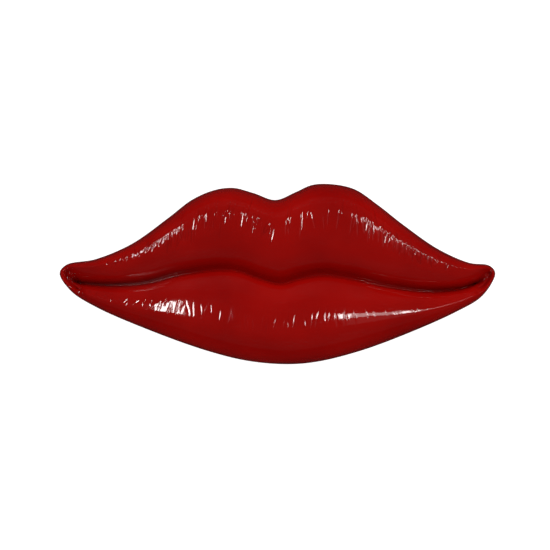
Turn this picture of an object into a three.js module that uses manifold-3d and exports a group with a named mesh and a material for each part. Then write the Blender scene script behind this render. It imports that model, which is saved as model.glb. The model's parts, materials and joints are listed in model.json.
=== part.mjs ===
// A novelty desk telephone in the shape of closed lips, as three.js meshes.
//
// The lips face up. +X runs from the earpiece end to the mouthpiece end, +Y from the lower lip to the
// upper lip, and +Z away from the table. The origin is on the table, under the middle of the object.
// Units are millimetres. The keypad, the earpiece, the mouthpiece and the hook plunger are underneath.

import * as THREE from "three";
import { mergeVertices } from "three/addons/utils/BufferGeometryUtils.js";
import Module from "manifold-3d";

// ---------------------------------------------------------------- driving dimensions

// Outline of the lips, seen from above, where the two case halves meet.
const LEFT_TIP = [-107.9, 0.4];
const RIGHT_TIP = [107.9, 0.8];
const UPPER_OUTLINE = [
  [-104.6, 4.6], [-90, 7.4], [-72, 15], [-54, 27.8], [-42.4, 36.7], [-31.5, 41.5], [-22, 42.7], [-12, 40.2],
  [-1, 36.7], [9, 40.6], [17, 44.1], [26, 44.6], [38, 42.1], [50, 34], [62, 24.6], [79.5, 12.4], [95, 5.6],
  [105, 4.2],
];
const LOWER_OUTLINE = [
  [-102, -8.7], [-90, -16.3], [-66, -26.8], [-36, -37.7], [-15, -43], [5, -44.7], [20, -43.4], [41, -38.1],
  [65, -29.2], [88.4, -18.8], [100.3, -11.9], [106, -4.8],
];
// The line where the lips touch, between the two corners of the mouth.
const MOUTH_LINE = [
  [-99, -4.6], [-82, -5.7], [-65, -4.8], [-46, -0.2], [-28, 2], [-18, 1], [-8.7, -2.4], [1.5, -4.8],
  [11, -2.4], [22, -0.6], [36, -2.4], [55, -6.6], [75, -8.8], [90, -7.4], [99, -4.4],
];
const OUTLINE_HALF = 107.9;
const MOUTH_HALF = 98;
const STATIONS = 28; // cross-sections from one tip to the other

const TABLE_GAP = 4; // the flat base stands this far off the table, on its feet
const BASE_WALL = 3;
const BASE_INSIDE = TABLE_GAP + BASE_WALL;
const THROUGH_BASE = [TABLE_GAP - 1, BASE_INSIDE + 1];
const CASE_WALL = 2.5;
const PARTING = 22; // height of the seam between the case halves
const PARTING_GAP = 0.3;
const SEAM_TRIM = 0.01; // taken off the tray's edge at the seam

// Heights above the seam: the crests of the lips, the groove between them, and the ends. The roundness
// is that of a lip's outer side, and the fullness says how far along it keeps its height.
const UPPER_LIP = { crest: 34, crestAt: 0.7, shoulder: 0.88, shoulderAt: 0.25, roundness: 2.5, fullness: 4 };
const LOWER_LIP = { crest: 37, crestAt: 0.5, shoulder: 0.84, shoulderAt: 0.06, roundness: 2.8, fullness: 2.6 };
const GROOVE = { high: 23, fullness: 3 };
const TIP = { rim: 11, rimAt: 0.8, pit: 6.5 };
const SHELL_RINGS = [0, 0.06, 0.14, 0.25, 0.48, 0.7, 0.8, 0.89, 0.96, 0.99, 1];
const LINER_RINGS = [0, 0.25, 0.5, 0.7, 0.86, 0.96, 0.99, 1];

// The tray under the seam: how far its wall stands inside the outline at each height.
const TRAY_OUTSIDE = [[PARTING, 0], [14, 1.8], [7, 4.8], [4.8, 6.4], [TABLE_GAP, 8.2]];
const TRAY_INSIDE = [[PARTING + 1, CASE_WALL], [12, 5.1], [BASE_INSIDE, 9.6]];
const CASE_REACH = { x: [-120, 120], y: [-60, 60] }; // a frame that the whole case fits in
const TONGUE = { low: 19, high: 24, outside: 3, inside: 4.4 };
const MOST_INSET = 0.62; // of the way to the mouth line, where the tips are narrow

// The keypad reads from the earpiece end: its rows run along X and its columns along Y.
const KEY_ROWS_X = [-28, -14.5, -1, 12.5];
const KEY_COLUMNS_Y = [10.5, -4, -18.5];
const KEY_NAMES = [["1", "2", "3"], ["4", "5", "6"], ["7", "8", "9"], ["star", "0", "hash"]];
const KEY = { x: 8.4, y: 10, corner: 2, low: 2.5, flange: 0.8, bevel: 0.5 };
const FUNCTION_KEYS = [["redial_key", 26, 6], ["flash_key", 26, -14]];
const FUNCTION_KEY = { ...KEY, x: 6.4, y: 15.6 };
const KEY_CLEARANCE = 0.3;
const FLANGE_LOW = 5.9;
const FLANGE_HIGH = 7;
const BEZEL = { x: [-36.6, 34.6], y: [-28.2, 20.2], corner: 4, high: 5.6 };
const KEY_WINDOW = { x: [-33.6, 31.6], y: [-25.2, 17.2] };
const MEMBRANE = { x: [-33.2, 31.2], y: [-25.2, 17.2], z: [8.8, 10.4], sheetLow: 9.2, padRadius: 2.6 };
const KEY_BOARD = { x: [-38.2, 35], y: [-27, 19.5], z: [10.4, 12] };
const KEY_BOARD_BOSSES = [[-35.8, 16.6], [-35.8, -24.2], [33.6, 16.6], [33.6, -24.2]];

const MAIN_BOARD = { z: [19.2, 20.8] };
const MAIN_BOARD_OUTLINE = [
  [-28, -33], [10, -33], [16, -26], [38, -26], [38, -8], [52, -8], [52, 8], [38, 8], [38, 26], [24, 32],
  [-28, 32],
];
const MAIN_BOARD_BOSSES = [[-24, 26], [20, 28], [-2, -30.3]];
const BOARD_TOP = MAIN_BOARD.z[1];
const TRANSFORMER_CORE = { x: [5, 21], y: [10, 24], z: [BOARD_TOP, 31] };
const TRANSFORMER_WINDING = { x: [8, 18], y: [7.5, 26.5], z: [22.8, 29] };
const DIALLER_CHIP = { x: [-22, 0], y: [-1, 6], z: [BOARD_TOP + 0.4, BOARD_TOP + 4] };
const BUZZER = { at: [-17, 18], radius: 8, high: 7, hole: 1.2, holeLow: 4 };
// The capacitor's can as [radius, height above the board], with a rolled groove above its foot.
const CAPACITOR = { at: [31, 14], profile: [[0, 0], [3.9, 0], [3.9, 1], [3.6, 1.4], [4, 2], [4, 12], [0, 12]] };

const CASE_SCREWS = [[-84, -4.5], [88, -5.4], [47, 18], [47, -20]];
const CASE_BOSS = { radius: 4, upper: 3.5, bore: 1.75, head: 3.4, seat: 10, pilotTop: 29 };
const SCREW = { shank: 1.4, head: 2.9, headHigh: 2.4, tip: 28 };
const SMALL_SCREW = { shank: 0.9, head: 1.9, headHigh: 1.4, bore: 1.2, boss: 2.2 };
const SCREW_DEPTH = { keypadBoard: 5, mainBoard: 7, retainer: 5 };
const LOW_BORES = [6, 12]; // heights of the screw holes in the short bosses
const MAIN_BORE_LOW = 12;

const EAR = { x: -60, y: -3.4, seatInside: 13.4, seatOutside: 14.6, seatHigh: 11, screwReach: 17.4 };
const GASKET = { outside: 12.9, inside: 9.8, high: 8 };
// The speaker from the edge of its cone to the back of its magnet, as [radius, height].
const SPEAKER = [[0, 8.6], [11, 8], [13, 8], [13, 9.3], [11, 9.4], [7, 13], [6.5, 13], [6.5, 16], [0, 16]];
const RETAINER = { radius: 15.4, bore: 11.3, lip: 12.9, lipLow: 9.6, earReach: 20, earHalf: 2.8, z: [11.2, 12.4] };
const EAR_HOLES = [[0, 1], [4.1, 6], [8.1, 12]];
const EAR_HOLE_RADIUS = 0.95;
const MIC = { x: 70, y: -4.5, seatInside: 6.7, seatOutside: 7.9, seatHigh: 11 };
const MIC_BOOT = { radius: 6.4, high: 12.5, inside: 5.1, shelf: 8, mouth: 3.4 };
const MIC_CAPSULE = [[0, 8.3], [4.4, 8.3], [4.8, 8.6], [4.8, 14], [0, 14]];
const MIC_HOLES = [[0, 1], [2.9, 6]];
const MIC_HOLE_RADIUS = 0.75;

const HOOK = { x: 44, y: -1, shaft: 5.3, hole: 5.8, low: 0.2, bevel: 0.8, flange: 7, stem: 2, stemTop: 14.2 };
const HOOK_GUIDE = { inside: 7.5, outside: 8.6, high: 12 };
const HOOK_FLANGE = [PARTING - 10.7, PARTING - 9.2];
const HOOK_SPRING = { radius: 5.2, wire: 0.8, turns: 3.5, clearance: 0.15, stepsPerTurn: 12 };
const HOOK_SWITCH = { half: 3, low: 15.4, button: 1.7, buttonZ: [14.6, 16] };

const FEET = [[-50, 15], [-50, -17], [62, 8], [62, -15]];
const FOOT = { radius: 4.5, low: 3.9, taperHigh: 1, recess: 4.8, high: 5 };

const JACK = { x: -1, face: 34.6, back: 20.4, halfWidth: 6.6, z: [8, 18.9] };
const JACK_PAD = { halfWidth: 9, deep: 2.4, z: [5.6, 20.4] };
const JACK_SOCKET = { halfWidth: 4.9, z: [10.2, 16.8], back: 23, notchHalf: 3.1, notchLow: 9 };
const SWITCHES = [["ringer_switch", -22, 40], ["tone_pulse_switch", 26, 42]];
const SWITCH = {
  padHalf: 8, padZ: [7.5, 17.5], padDeep: 2.2, bodyHalf: 6, bodyDeep: 5, bodyZ: [9, 16], slotHalf: 4, slotDeep: 4,
  trackDeep: 2.6, middle: 12.5,
};
const KNOB = { halfWidth: 1.6, halfHigh: 1.4, proud: 1.6, foot: 2.2, restAt: -2 };

const BALLAST = { x: [-30, 30], y: [-27, 1], z: [30, 36], screws: [[-20, -13], [20, -13]] };
const BALLAST_BOSS = { radius: 3, pilotTop: 44, screwTip: 43 };

const SKIN = 0.3; // clearance around a fitted piece
const ROOT = 0.5; // how far a ring on the base reaches into it
const PAST = 1; // how far a cutting tool runs past the face it opens

// Sides of the round pieces, from the broadest to the finest holes.
const SIDES = { broad: 20, round: 16, boss: 14, bore: 12, smallBoss: 10, smallBore: 8, hole: 6 };

// ---------------------------------------------------------------- materials

function finish(color, roughness, metalness = 0) {
  return new THREE.MeshStandardMaterial({ color, roughness, metalness });
}

const RED_GLOSS = finish(0x8c0705, 0.12);
const BLACK_SATIN = finish(0x151515, 0.4);
const KEY_WHITE = finish(0xe9e4d6, 0.35);
const RUBBER = finish(0x1b1b1b, 0.85);
const BOARD = finish(0x2f5d34, 0.5);
const STEEL = finish(0xb9bcc0, 0.3, 1);
const GREY_RUBBER = finish(0x8a8a86, 0.8);
const FOAM = finish(0x2a2a2a, 0.95);
const CLEAR_PLASTIC = finish(0xd8d4c8, 0.2);
const BLACK_PART = finish(0x222222, 0.5);
const YELLOW_TAPE = finish(0xd9b23a, 0.5);

// ---------------------------------------------------------------- solids

const wasm = await Module();
wasm.setup();

function solid(geometry) {
  const bare = geometry.clone();
  bare.deleteAttribute("normal");
  bare.deleteAttribute("uv");
  const merged = mergeVertices(bare, 1e-4);
  const vertProperties = new Float32Array(merged.attributes.position.array);
  const triVerts = new Uint32Array(merged.index.array);
  return new wasm.Manifold(new wasm.Mesh({ numProp: 3, vertProperties, triVerts }));
}

function geometryOf(made) {
  const mesh = made.getMesh();
  const position = new Float32Array(mesh.numVert * 3);
  for (let i = 0; i < mesh.numVert; i++) {
    position.set(mesh.vertProperties.subarray(i * mesh.numProp, i * mesh.numProp + 3), i * 3);
  }
  const geometry = new THREE.BufferGeometry();
  geometry.setAttribute("position", new THREE.BufferAttribute(position, 3));
  geometry.setIndex(new THREE.BufferAttribute(new Uint32Array(mesh.triVerts), 1));
  geometry.computeVertexNormals();
  return geometry;
}

function join(solids) {
  return solids.reduce((whole, piece) => whole.add(piece));
}

function cut(whole, tools) {
  return whole.subtract(join(tools));
}

function box([x0, x1], [y0, y1], [z0, z1]) {
  const geometry = new THREE.BoxGeometry(x1 - x0, y1 - y0, z1 - z0);
  return solid(geometry.translate((x0 + x1) / 2, (y0 + y1) / 2, (z0 + z1) / 2));
}

function post(radius, [z0, z1], [x, y], sides = SIDES.boss) {
  const geometry = new THREE.CylinderGeometry(radius, radius, z1 - z0, sides);
  return solid(geometry.rotateX(Math.PI / 2).translate(x, y, (z0 + z1) / 2));
}

function ring(outside, inside, z, at) {
  return post(outside, z, at, SIDES.broad).subtract(post(inside, [z[0] - PAST, z[1] + PAST], at, SIDES.broad));
}

// A turned piece. The profile gives [radius, height] from the lower end of the axis to the upper one.
function turned(profile, [x, y], sides = SIDES.broad) {
  const points = profile.map(([radius, height]) => new THREE.Vector2(radius, height));
  return solid(new THREE.LatheGeometry(points, sides).rotateX(Math.PI / 2).translate(x, y, 0));
}

function roundedRectangle(sizeX, sizeY, corner) {
  const halfX = sizeX / 2;
  const halfY = sizeY / 2;
  const shape = new THREE.Shape();
  shape.absarc(halfX - corner, halfY - corner, corner, 0, Math.PI / 2);
  shape.absarc(corner - halfX, halfY - corner, corner, Math.PI / 2, Math.PI);
  shape.absarc(corner - halfX, corner - halfY, corner, Math.PI, 1.5 * Math.PI);
  shape.absarc(halfX - corner, corner - halfY, corner, 1.5 * Math.PI, 2 * Math.PI);
  return shape;
}

function plate(shape, [z0, z1], [x, y], curveSegments = 2) {
  const geometry = new THREE.ExtrudeGeometry(shape, { depth: z1 - z0, bevelEnabled: false, curveSegments });
  return solid(geometry.translate(x, y, z0));
}

function circleOfPoints([x, y], [radius, count]) {
  return Array.from({ length: count }, (_, i) => {
    const angle = (2 * Math.PI * i) / count;
    return [x + radius * Math.cos(angle), y + radius * Math.sin(angle)];
  });
}

// ---------------------------------------------------------------- the form of the lips

function mix(a, b, share) {
  return a + (b - a) * share;
}

function smooth(low, high, value) {
  const share = Math.min(1, Math.max(0, (value - low) / (high - low)));
  return share * share * (3 - 2 * share);
}

function curveThrough(points, closed) {
  const corners = points.map(([x, y]) => new THREE.Vector3(x, y, 0));
  return new THREE.CatmullRomCurve3(corners, closed, "centripetal");
}

const mouthPoints = curveThrough(MOUTH_LINE, false).getPoints(300);

function mouthY(x) {
  const next = mouthPoints.findIndex((point) => point.x >= x);
  const a = mouthPoints[next - 1];
  const b = mouthPoints[next];
  return mix(a.y, b.y, (x - a.x) / (b.x - a.x));
}

// Points along a polyline at the given shares of its length.
function pointsAlong(line, shares) {
  const lengths = [0];
  for (let i = 1; i < line.length; i++) {
    lengths.push(lengths[i - 1] + line[i].distanceTo(line[i - 1]));
  }
  return shares.map((share) => {
    const wanted = share * lengths[lengths.length - 1];
    const next = Math.max(1, lengths.findIndex((length) => length >= wanted - 1e-9));
    const part = (wanted - lengths[next - 1]) / (lengths[next] - lengths[next - 1]);
    return new THREE.Vector2(mix(line[next - 1].x, line[next].x, part), mix(line[next - 1].y, line[next].y, part));
  });
}

// A ray runs from the mouth line out to the outline. Station 0 is the left tip and the last is the
// right tip, where the ray of the upper lip and the ray of the lower lip are the same one.
function makeRays() {
  const corners = [LEFT_TIP, ...UPPER_OUTLINE, RIGHT_TIP, ...LOWER_OUTLINE.toReversed()];
  const outline = curveThrough(corners, true);
  const tipAt = (UPPER_OUTLINE.length + 1) / corners.length;
  const steps = Array.from({ length: 1001 }, (_, i) => i / 1000);
  const upperLine = steps.map((t) => outline.getPoint(t * tipAt));
  const lowerLine = steps.map((t) => outline.getPoint(1 - t * (1 - tipAt)));
  // Stations stand closer together at the blunt tips.
  const shares = Array.from({ length: STATIONS + 1 }, (_, i) => {
    const even = i / STATIONS;
    return mix(even, (1 - Math.cos(Math.PI * even)) / 2, 0.6);
  });
  const upperEdge = pointsAlong(upperLine, shares);
  const lowerEdge = pointsAlong(lowerLine, shares);
  const roots = shares.map((_, i) => {
    const x = ((upperEdge[i].x + lowerEdge[i].x) / 2) * (MOUTH_HALF / OUTLINE_HALF);
    return new THREE.Vector2(x, mouthY(x));
  });
  const rayTo = (edge, root) => {
    const reach = edge.distanceTo(root);
    return { edge, root, reach, upper: smooth(-0.5, 0.5, (edge.y - root.y) / reach) };
  };
  return {
    upper: upperEdge.map((edge, i) => rayTo(edge, roots[i])),
    lower: lowerEdge.map((edge, i) => rayTo(edge, roots[i])),
  };
}

const rays = makeRays();

// Height of one lip above the seam, at a share of the way from the mouth line to the outline. The place
// along the lip is 0 in the middle and 1 at the ends of the mouth line.
function lipProfile(share, lip, along) {
  const fullness = 1 - 0.999 * along ** lip.fullness;
  const crest = mix(TIP.rim, lip.crest, fullness);
  const groove = mix(TIP.pit, GROOVE.high, 1 - along ** GROOVE.fullness);
  const shoulder = mix(groove, Math.max(groove, crest * lip.shoulder), smooth(0, 0.3, fullness));
  const crestAt = mix(TIP.rimAt, lip.crestAt, smooth(0, 0.35, fullness));
  if (share < lip.shoulderAt) {
    return mix(groove, shoulder, Math.sin((Math.PI / 2) * (share / lip.shoulderAt)));
  }
  if (share < crestAt) {
    return mix(shoulder, crest, Math.sin((Math.PI / 2) * ((share - lip.shoulderAt) / (crestAt - lip.shoulderAt))));
  }
  const down = (share - crestAt) / (1 - crestAt);
  return crest * Math.max(0, 1 - down ** lip.roundness) ** (1 / lip.roundness);
}

function lipHeight(ray, share) {
  const along = Math.min(1, Math.abs(ray.root.x) / MOUTH_HALF);
  return mix(lipProfile(share, LOWER_LIP, along), lipProfile(share, UPPER_LIP, along), ray.upper);
}

// The point a given distance inside the outline, along a ray.
function insetPoint(ray, inset) {
  const share = 1 - Math.min(inset / ray.reach, MOST_INSET);
  return new THREE.Vector2().lerpVectors(ray.root, ray.edge, share);
}

// A closed solid swept around the outline. Every ray gives one path of points, which starts and ends
// on the mouth line or closes on itself.
function sweptSolid(pathOf) {
  const triangles = [];
  const strip = (side, turnedOver) => {
    const paths = side.map(pathOf);
    for (let k = 0; k + 1 < paths.length; k++) {
      for (let j = 0; j + 1 < paths[k].length; j++) {
        const [a, b, c, d] = [paths[k][j], paths[k + 1][j], paths[k + 1][j + 1], paths[k][j + 1]];
        triangles.push(...(turnedOver ? [a, c, b, a, d, c] : [a, b, c, a, c, d]));
      }
    }
  };
  strip(rays.upper, false);
  strip(rays.lower, true);
  return solid(new THREE.BufferGeometry().setFromPoints(triangles));
}

function lipsSolid(rings, inset, drop, floor) {
  return sweptSolid((ray) => {
    const edge = insetPoint(ray, inset);
    const top = rings.map((share) => {
      const at = new THREE.Vector2().lerpVectors(ray.root, edge, share);
      return new THREE.Vector3(at.x, at.y, PARTING + lipHeight(ray, share) - drop);
    });
    return [...top, new THREE.Vector3(edge.x, edge.y, floor), new THREE.Vector3(ray.root.x, ray.root.y, floor)];
  });
}

function traySolid(levels) {
  return sweptSolid((ray) => {
    const wall = levels.map(([height, inset]) => {
      const at = insetPoint(ray, inset);
      return new THREE.Vector3(at.x, at.y, height);
    });
    const high = levels[0][0];
    const low = levels[levels.length - 1][0];
    return [
      new THREE.Vector3(ray.root.x, ray.root.y, high), ...wall, new THREE.Vector3(ray.root.x, ray.root.y, low),
    ];
  });
}

function tongueSolid() {
  return sweptSolid((ray) => {
    const outside = insetPoint(ray, TONGUE.outside);
    const inside = insetPoint(ray, TONGUE.inside);
    return [
      new THREE.Vector3(inside.x, inside.y, TONGUE.high), new THREE.Vector3(outside.x, outside.y, TONGUE.high),
      new THREE.Vector3(outside.x, outside.y, TONGUE.low), new THREE.Vector3(inside.x, inside.y, TONGUE.low),
      new THREE.Vector3(inside.x, inside.y, TONGUE.high),
    ];
  });
}

// ---------------------------------------------------------------- case halves

function upperShell() {
  const block = lipsSolid(SHELL_RINGS, 0, 0, PARTING + PARTING_GAP / 2);
  const hollow = lipsSolid(LINER_RINGS, CASE_WALL, CASE_WALL, PARTING - CASE_WALL - 1);
  const bossTop = PARTING + LOWER_LIP.crest;
  const caseBosses = CASE_SCREWS.map((at) => post(CASE_BOSS.upper, [PARTING + PARTING_GAP, bossTop], at));
  const ballastBosses = BALLAST.screws.map((at) => post(BALLAST_BOSS.radius, [BALLAST.z[1], bossTop], at));
  const bosses = join([...caseBosses, ...ballastBosses]).intersect(block);
  const pilots = CASE_SCREWS.map((at) => post(CASE_BOSS.bore, [PARTING, CASE_BOSS.pilotTop], at, SIDES.bore));
  const ballastPilotZ = [BALLAST.z[1] - PAST, BALLAST_BOSS.pilotTop];
  const ballastPilots = BALLAST.screws.map((at) => post(CASE_BOSS.bore, ballastPilotZ, at, SIDES.bore));
  return cut(block.subtract(hollow).add(bosses), [...pilots, ...ballastPilots]);
}

function jackPadCuts() {
  const width = [JACK.x - JACK_PAD.halfWidth, JACK.x + JACK_PAD.halfWidth];
  const pocket = box(width, [JACK.face, CASE_REACH.y[1]], JACK_PAD.z);
  const pad = box(width, [JACK.face - JACK_PAD.deep, JACK.face], JACK_PAD.z);
  const window = box(
    [JACK.x - JACK.halfWidth - SKIN, JACK.x + JACK.halfWidth + SKIN], [JACK.back - SKIN, JACK.face + PAST],
    [JACK.z[0] - SKIN, JACK.z[1] + SKIN],
  );
  return { pocket, pad, window };
}

function switchPadCuts([, x, face]) {
  const width = [x - SWITCH.padHalf, x + SWITCH.padHalf];
  const slotHigh = KNOB.halfHigh + SKIN;
  const slot = box(
    [x - SWITCH.slotHalf, x + SWITCH.slotHalf], [face - SWITCH.slotDeep, face + PAST],
    [SWITCH.middle - slotHigh, SWITCH.middle + slotHigh],
  );
  const bodyRoom = box(
    [x - SWITCH.bodyHalf - SKIN, x + SWITCH.bodyHalf + SKIN],
    [face - SWITCH.padDeep - SWITCH.bodyDeep - SKIN, face - SWITCH.padDeep],
    [SWITCH.bodyZ[0] - SKIN, SWITCH.bodyZ[1] + SKIN],
  );
  return {
    pocket: box(width, [face, CASE_REACH.y[1]], SWITCH.padZ),
    pad: box(width, [face - SWITCH.padDeep, face], SWITCH.padZ),
    window: slot.add(bodyRoom),
  };
}

function soundHoles(at, circles, radius) {
  const centres = circles.flatMap((circle) => circleOfPoints([at.x, at.y], circle));
  return centres.map((centre) => post(radius, THROUGH_BASE, centre, SIDES.hole));
}

function smallBoss(at, high) {
  return post(SMALL_SCREW.boss, [BASE_INSIDE, high], at, SIDES.smallBoss);
}

function lowerShell() {
  const pads = [jackPadCuts(), ...SWITCHES.map(switchPadCuts)];
  const outside = traySolid(TRAY_OUTSIDE).subtract(join(pads.map((pad) => pad.pocket)));
  const caseBosses = CASE_SCREWS.map((at) => post(CASE_BOSS.radius, [TABLE_GAP, PARTING - PARTING_GAP], at));
  const boardBosses = [
    ...KEY_BOARD_BOSSES.map((at) => smallBoss(at, KEY_BOARD.z[0])),
    ...MAIN_BOARD_BOSSES.map((at) => smallBoss(at, MAIN_BOARD.z[0])),
    ...earScrews().map((at) => smallBoss(at, EAR.seatHigh)),
  ];
  const seats = [
    ring(EAR.seatOutside, EAR.seatInside, [BASE_INSIDE - ROOT, EAR.seatHigh], [EAR.x, EAR.y]),
    ring(MIC.seatOutside, MIC.seatInside, [BASE_INSIDE - ROOT, MIC.seatHigh], [MIC.x, MIC.y]),
    ring(HOOK_GUIDE.outside, HOOK_GUIDE.inside, [BASE_INSIDE - ROOT, HOOK_GUIDE.high], [HOOK.x, HOOK.y]),
  ];
  const overSeam = box(CASE_REACH.x, CASE_REACH.y, [PARTING - SEAM_TRIM, PARTING + PAST]);
  const tray = outside.subtract(traySolid(TRAY_INSIDE)).subtract(overSeam);
  const added = join([tongueSolid(), ...caseBosses, ...boardBosses, ...seats, ...pads.map((pad) => pad.pad)]);
  const mainBores = [MAIN_BORE_LOW, MAIN_BOARD.z[0] + PAST];
  const holes = [
    ...pads.map((pad) => pad.window),
    ...CASE_SCREWS.map((at) => post(CASE_BOSS.head, [TABLE_GAP - PAST, CASE_BOSS.seat], at)),
    ...CASE_SCREWS.map((at) => post(CASE_BOSS.bore, [TABLE_GAP, PARTING + PAST], at, SIDES.bore)),
    ...[...KEY_BOARD_BOSSES, ...earScrews()].map((at) => post(SMALL_SCREW.bore, LOW_BORES, at, SIDES.hole)),
    ...MAIN_BOARD_BOSSES.map((at) => post(SMALL_SCREW.bore, mainBores, at, SIDES.hole)),
    ...FEET.map((at) => post(FOOT.recess, [TABLE_GAP - PAST, FOOT.high], at)),
    ...soundHoles(EAR, EAR_HOLES, EAR_HOLE_RADIUS),
    ...soundHoles(MIC, MIC_HOLES, MIC_HOLE_RADIUS),
    post(HOOK.hole, THROUGH_BASE, [HOOK.x, HOOK.y]),
    plate(bezelShape(SKIN), [TABLE_GAP - PAST, BEZEL.high], middleOf(BEZEL), 3),
    box(KEY_WINDOW.x, KEY_WINDOW.y, THROUGH_BASE),
  ];
  return cut(tray.add(added), holes);
}

// ---------------------------------------------------------------- keypad

function middleOf({ x, y }) {
  return [(x[0] + x[1]) / 2, (y[0] + y[1]) / 2];
}

function bezelShape(margin) {
  const width = BEZEL.x[1] - BEZEL.x[0] + 2 * margin;
  return roundedRectangle(width, BEZEL.y[1] - BEZEL.y[0] + 2 * margin, BEZEL.corner + margin);
}

function allKeys() {
  const dialKeys = KEY_ROWS_X.flatMap((x, row) =>
    KEY_COLUMNS_Y.map((y, column) => ({ name: "key_" + KEY_NAMES[row][column], size: KEY, at: [x, y] })),
  );
  const functionKeys = FUNCTION_KEYS.map(([name, x, y]) => ({ name, size: FUNCTION_KEY, at: [x, y] }));
  return [...dialKeys, ...functionKeys];
}

function keypadBezel() {
  const holes = allKeys().map(({ size, at }) => {
    const shape = roundedRectangle(size.x + 2 * KEY_CLEARANCE, size.y + 2 * KEY_CLEARANCE, size.corner);
    return plate(shape, [TABLE_GAP - PAST, BEZEL.high + PAST], at);
  });
  return cut(plate(bezelShape(0), [TABLE_GAP, BEZEL.high], middleOf(BEZEL), 3), holes);
}

function keySolid({ size, at }) {
  const bevel = size.bevel;
  const shape = roundedRectangle(size.x - 2 * bevel, size.y - 2 * bevel, size.corner - bevel);
  const geometry = new THREE.ExtrudeGeometry(shape, {
    depth: FLANGE_HIGH - size.low - 2 * bevel, bevelThickness: bevel, bevelSize: bevel, bevelSegments: 1,
    curveSegments: 2,
  });
  const cap = solid(geometry.translate(at[0], at[1], size.low + bevel));
  const halfX = size.x / 2 + size.flange;
  const halfY = size.y / 2 + size.flange;
  const flange = box([at[0] - halfX, at[0] + halfX], [at[1] - halfY, at[1] + halfY], [FLANGE_LOW, FLANGE_HIGH]);
  return cap.add(flange);
}

// The silicone mat has a raised pad over each key, with room for the key's travel.
function keypadMembrane() {
  const mat = box(MEMBRANE.x, MEMBRANE.y, [MEMBRANE.sheetLow, MEMBRANE.z[1]]);
  const pads = allKeys().map(({ at }) => post(MEMBRANE.padRadius, MEMBRANE.z, at, SIDES.smallBore));
  return mat.add(join(pads));
}

// ---------------------------------------------------------------- boards and what is on them

// Holes for small screws through a board or plate.
function screwHoles(places, [low, high]) {
  return places.map((at) => post(SMALL_SCREW.bore, [low - PAST, high + PAST], at, SIDES.smallBore));
}

function keypadBoard() {
  return cut(box(KEY_BOARD.x, KEY_BOARD.y, KEY_BOARD.z), screwHoles(KEY_BOARD_BOSSES, KEY_BOARD.z));
}

function mainBoard() {
  const shape = new THREE.Shape(MAIN_BOARD_OUTLINE.map(([x, y]) => new THREE.Vector2(x, y)));
  return cut(plate(shape, MAIN_BOARD.z, [0, 0]), screwHoles(MAIN_BOARD_BOSSES, MAIN_BOARD.z));
}

function hookSwitch() {
  const { half, low, button, buttonZ } = HOOK_SWITCH;
  const body = box([HOOK.x - half, HOOK.x + half], [HOOK.y - half, HOOK.y + half], [low, MAIN_BOARD.z[0]]);
  return body.add(post(button, buttonZ, [HOOK.x, HOOK.y], SIDES.bore));
}

function lineJack() {
  const body = box([JACK.x - JACK.halfWidth, JACK.x + JACK.halfWidth], [JACK.back, JACK.face], JACK.z);
  const socket = box(
    [JACK.x - JACK_SOCKET.halfWidth, JACK.x + JACK_SOCKET.halfWidth], [JACK_SOCKET.back, JACK.face + PAST],
    JACK_SOCKET.z,
  );
  const notch = box(
    [JACK.x - JACK_SOCKET.notchHalf, JACK.x + JACK_SOCKET.notchHalf], [JACK_SOCKET.back, JACK.face + PAST],
    [JACK_SOCKET.notchLow, JACK_SOCKET.z[1]],
  );
  return cut(body, [socket, notch]);
}

function block({ x, y, z }) {
  return box(x, y, z);
}

function lineTransformer() {
  return block(TRANSFORMER_CORE).add(block(TRANSFORMER_WINDING));
}

function ringerBuzzer() {
  const { at, radius, high, hole, holeLow } = BUZZER;
  const can = post(radius, [BOARD_TOP, BOARD_TOP + high], at, SIDES.round);
  return can.subtract(post(hole, [BOARD_TOP + holeLow, BOARD_TOP + high + PAST], at, SIDES.smallBoss));
}

function capacitor() {
  const profile = CAPACITOR.profile.map(([radius, height]) => [radius, BOARD_TOP + height]);
  return turned(profile, CAPACITOR.at, SIDES.bore);
}

// ---------------------------------------------------------------- sound

function earScrews() {
  return [[EAR.x - EAR.screwReach, EAR.y], [EAR.x + EAR.screwReach, EAR.y]];
}

function earpieceGasket() {
  return ring(GASKET.outside, GASKET.inside, [BASE_INSIDE, GASKET.high], [EAR.x, EAR.y]);
}

function earpieceRetainer() {
  const at = [EAR.x, EAR.y];
  const { radius, bore, lip, lipLow, earReach, earHalf, z } = RETAINER;
  const ears = box([EAR.x - earReach, EAR.x + earReach], [EAR.y - earHalf, EAR.y + earHalf], z);
  const rim = post(lip, [lipLow, z[1]], at, SIDES.broad);
  const opening = post(bore, [lipLow - PAST, z[1] + PAST], at, SIDES.broad);
  return cut(join([post(radius, z, at, SIDES.broad), ears, rim]), [opening, ...screwHoles(earScrews(), z)]);
}

function microphoneBoot() {
  const at = [MIC.x, MIC.y];
  const { radius, high, inside, shelf, mouth } = MIC_BOOT;
  const room = post(inside, [shelf, high + PAST], at, SIDES.round);
  const opening = post(mouth, [BASE_INSIDE - PAST, shelf + PAST], at, SIDES.round);
  return cut(post(radius, [BASE_INSIDE, high], at, SIDES.round), [room, opening]);
}

// ---------------------------------------------------------------- hook, feet, screws, switches, ballast

function hookPlunger() {
  const { low, bevel, shaft, flange, stem, stemTop } = HOOK;
  const [flangeLow, flangeHigh] = HOOK_FLANGE;
  return turned(
    [
      [0, low], [shaft - bevel, low], [shaft, low + bevel], [shaft, flangeLow], [flange, flangeLow],
      [flange, flangeHigh], [stem, flangeHigh], [stem, stemTop], [0, stemTop],
    ],
    [HOOK.x, HOOK.y],
  );
}

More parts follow.
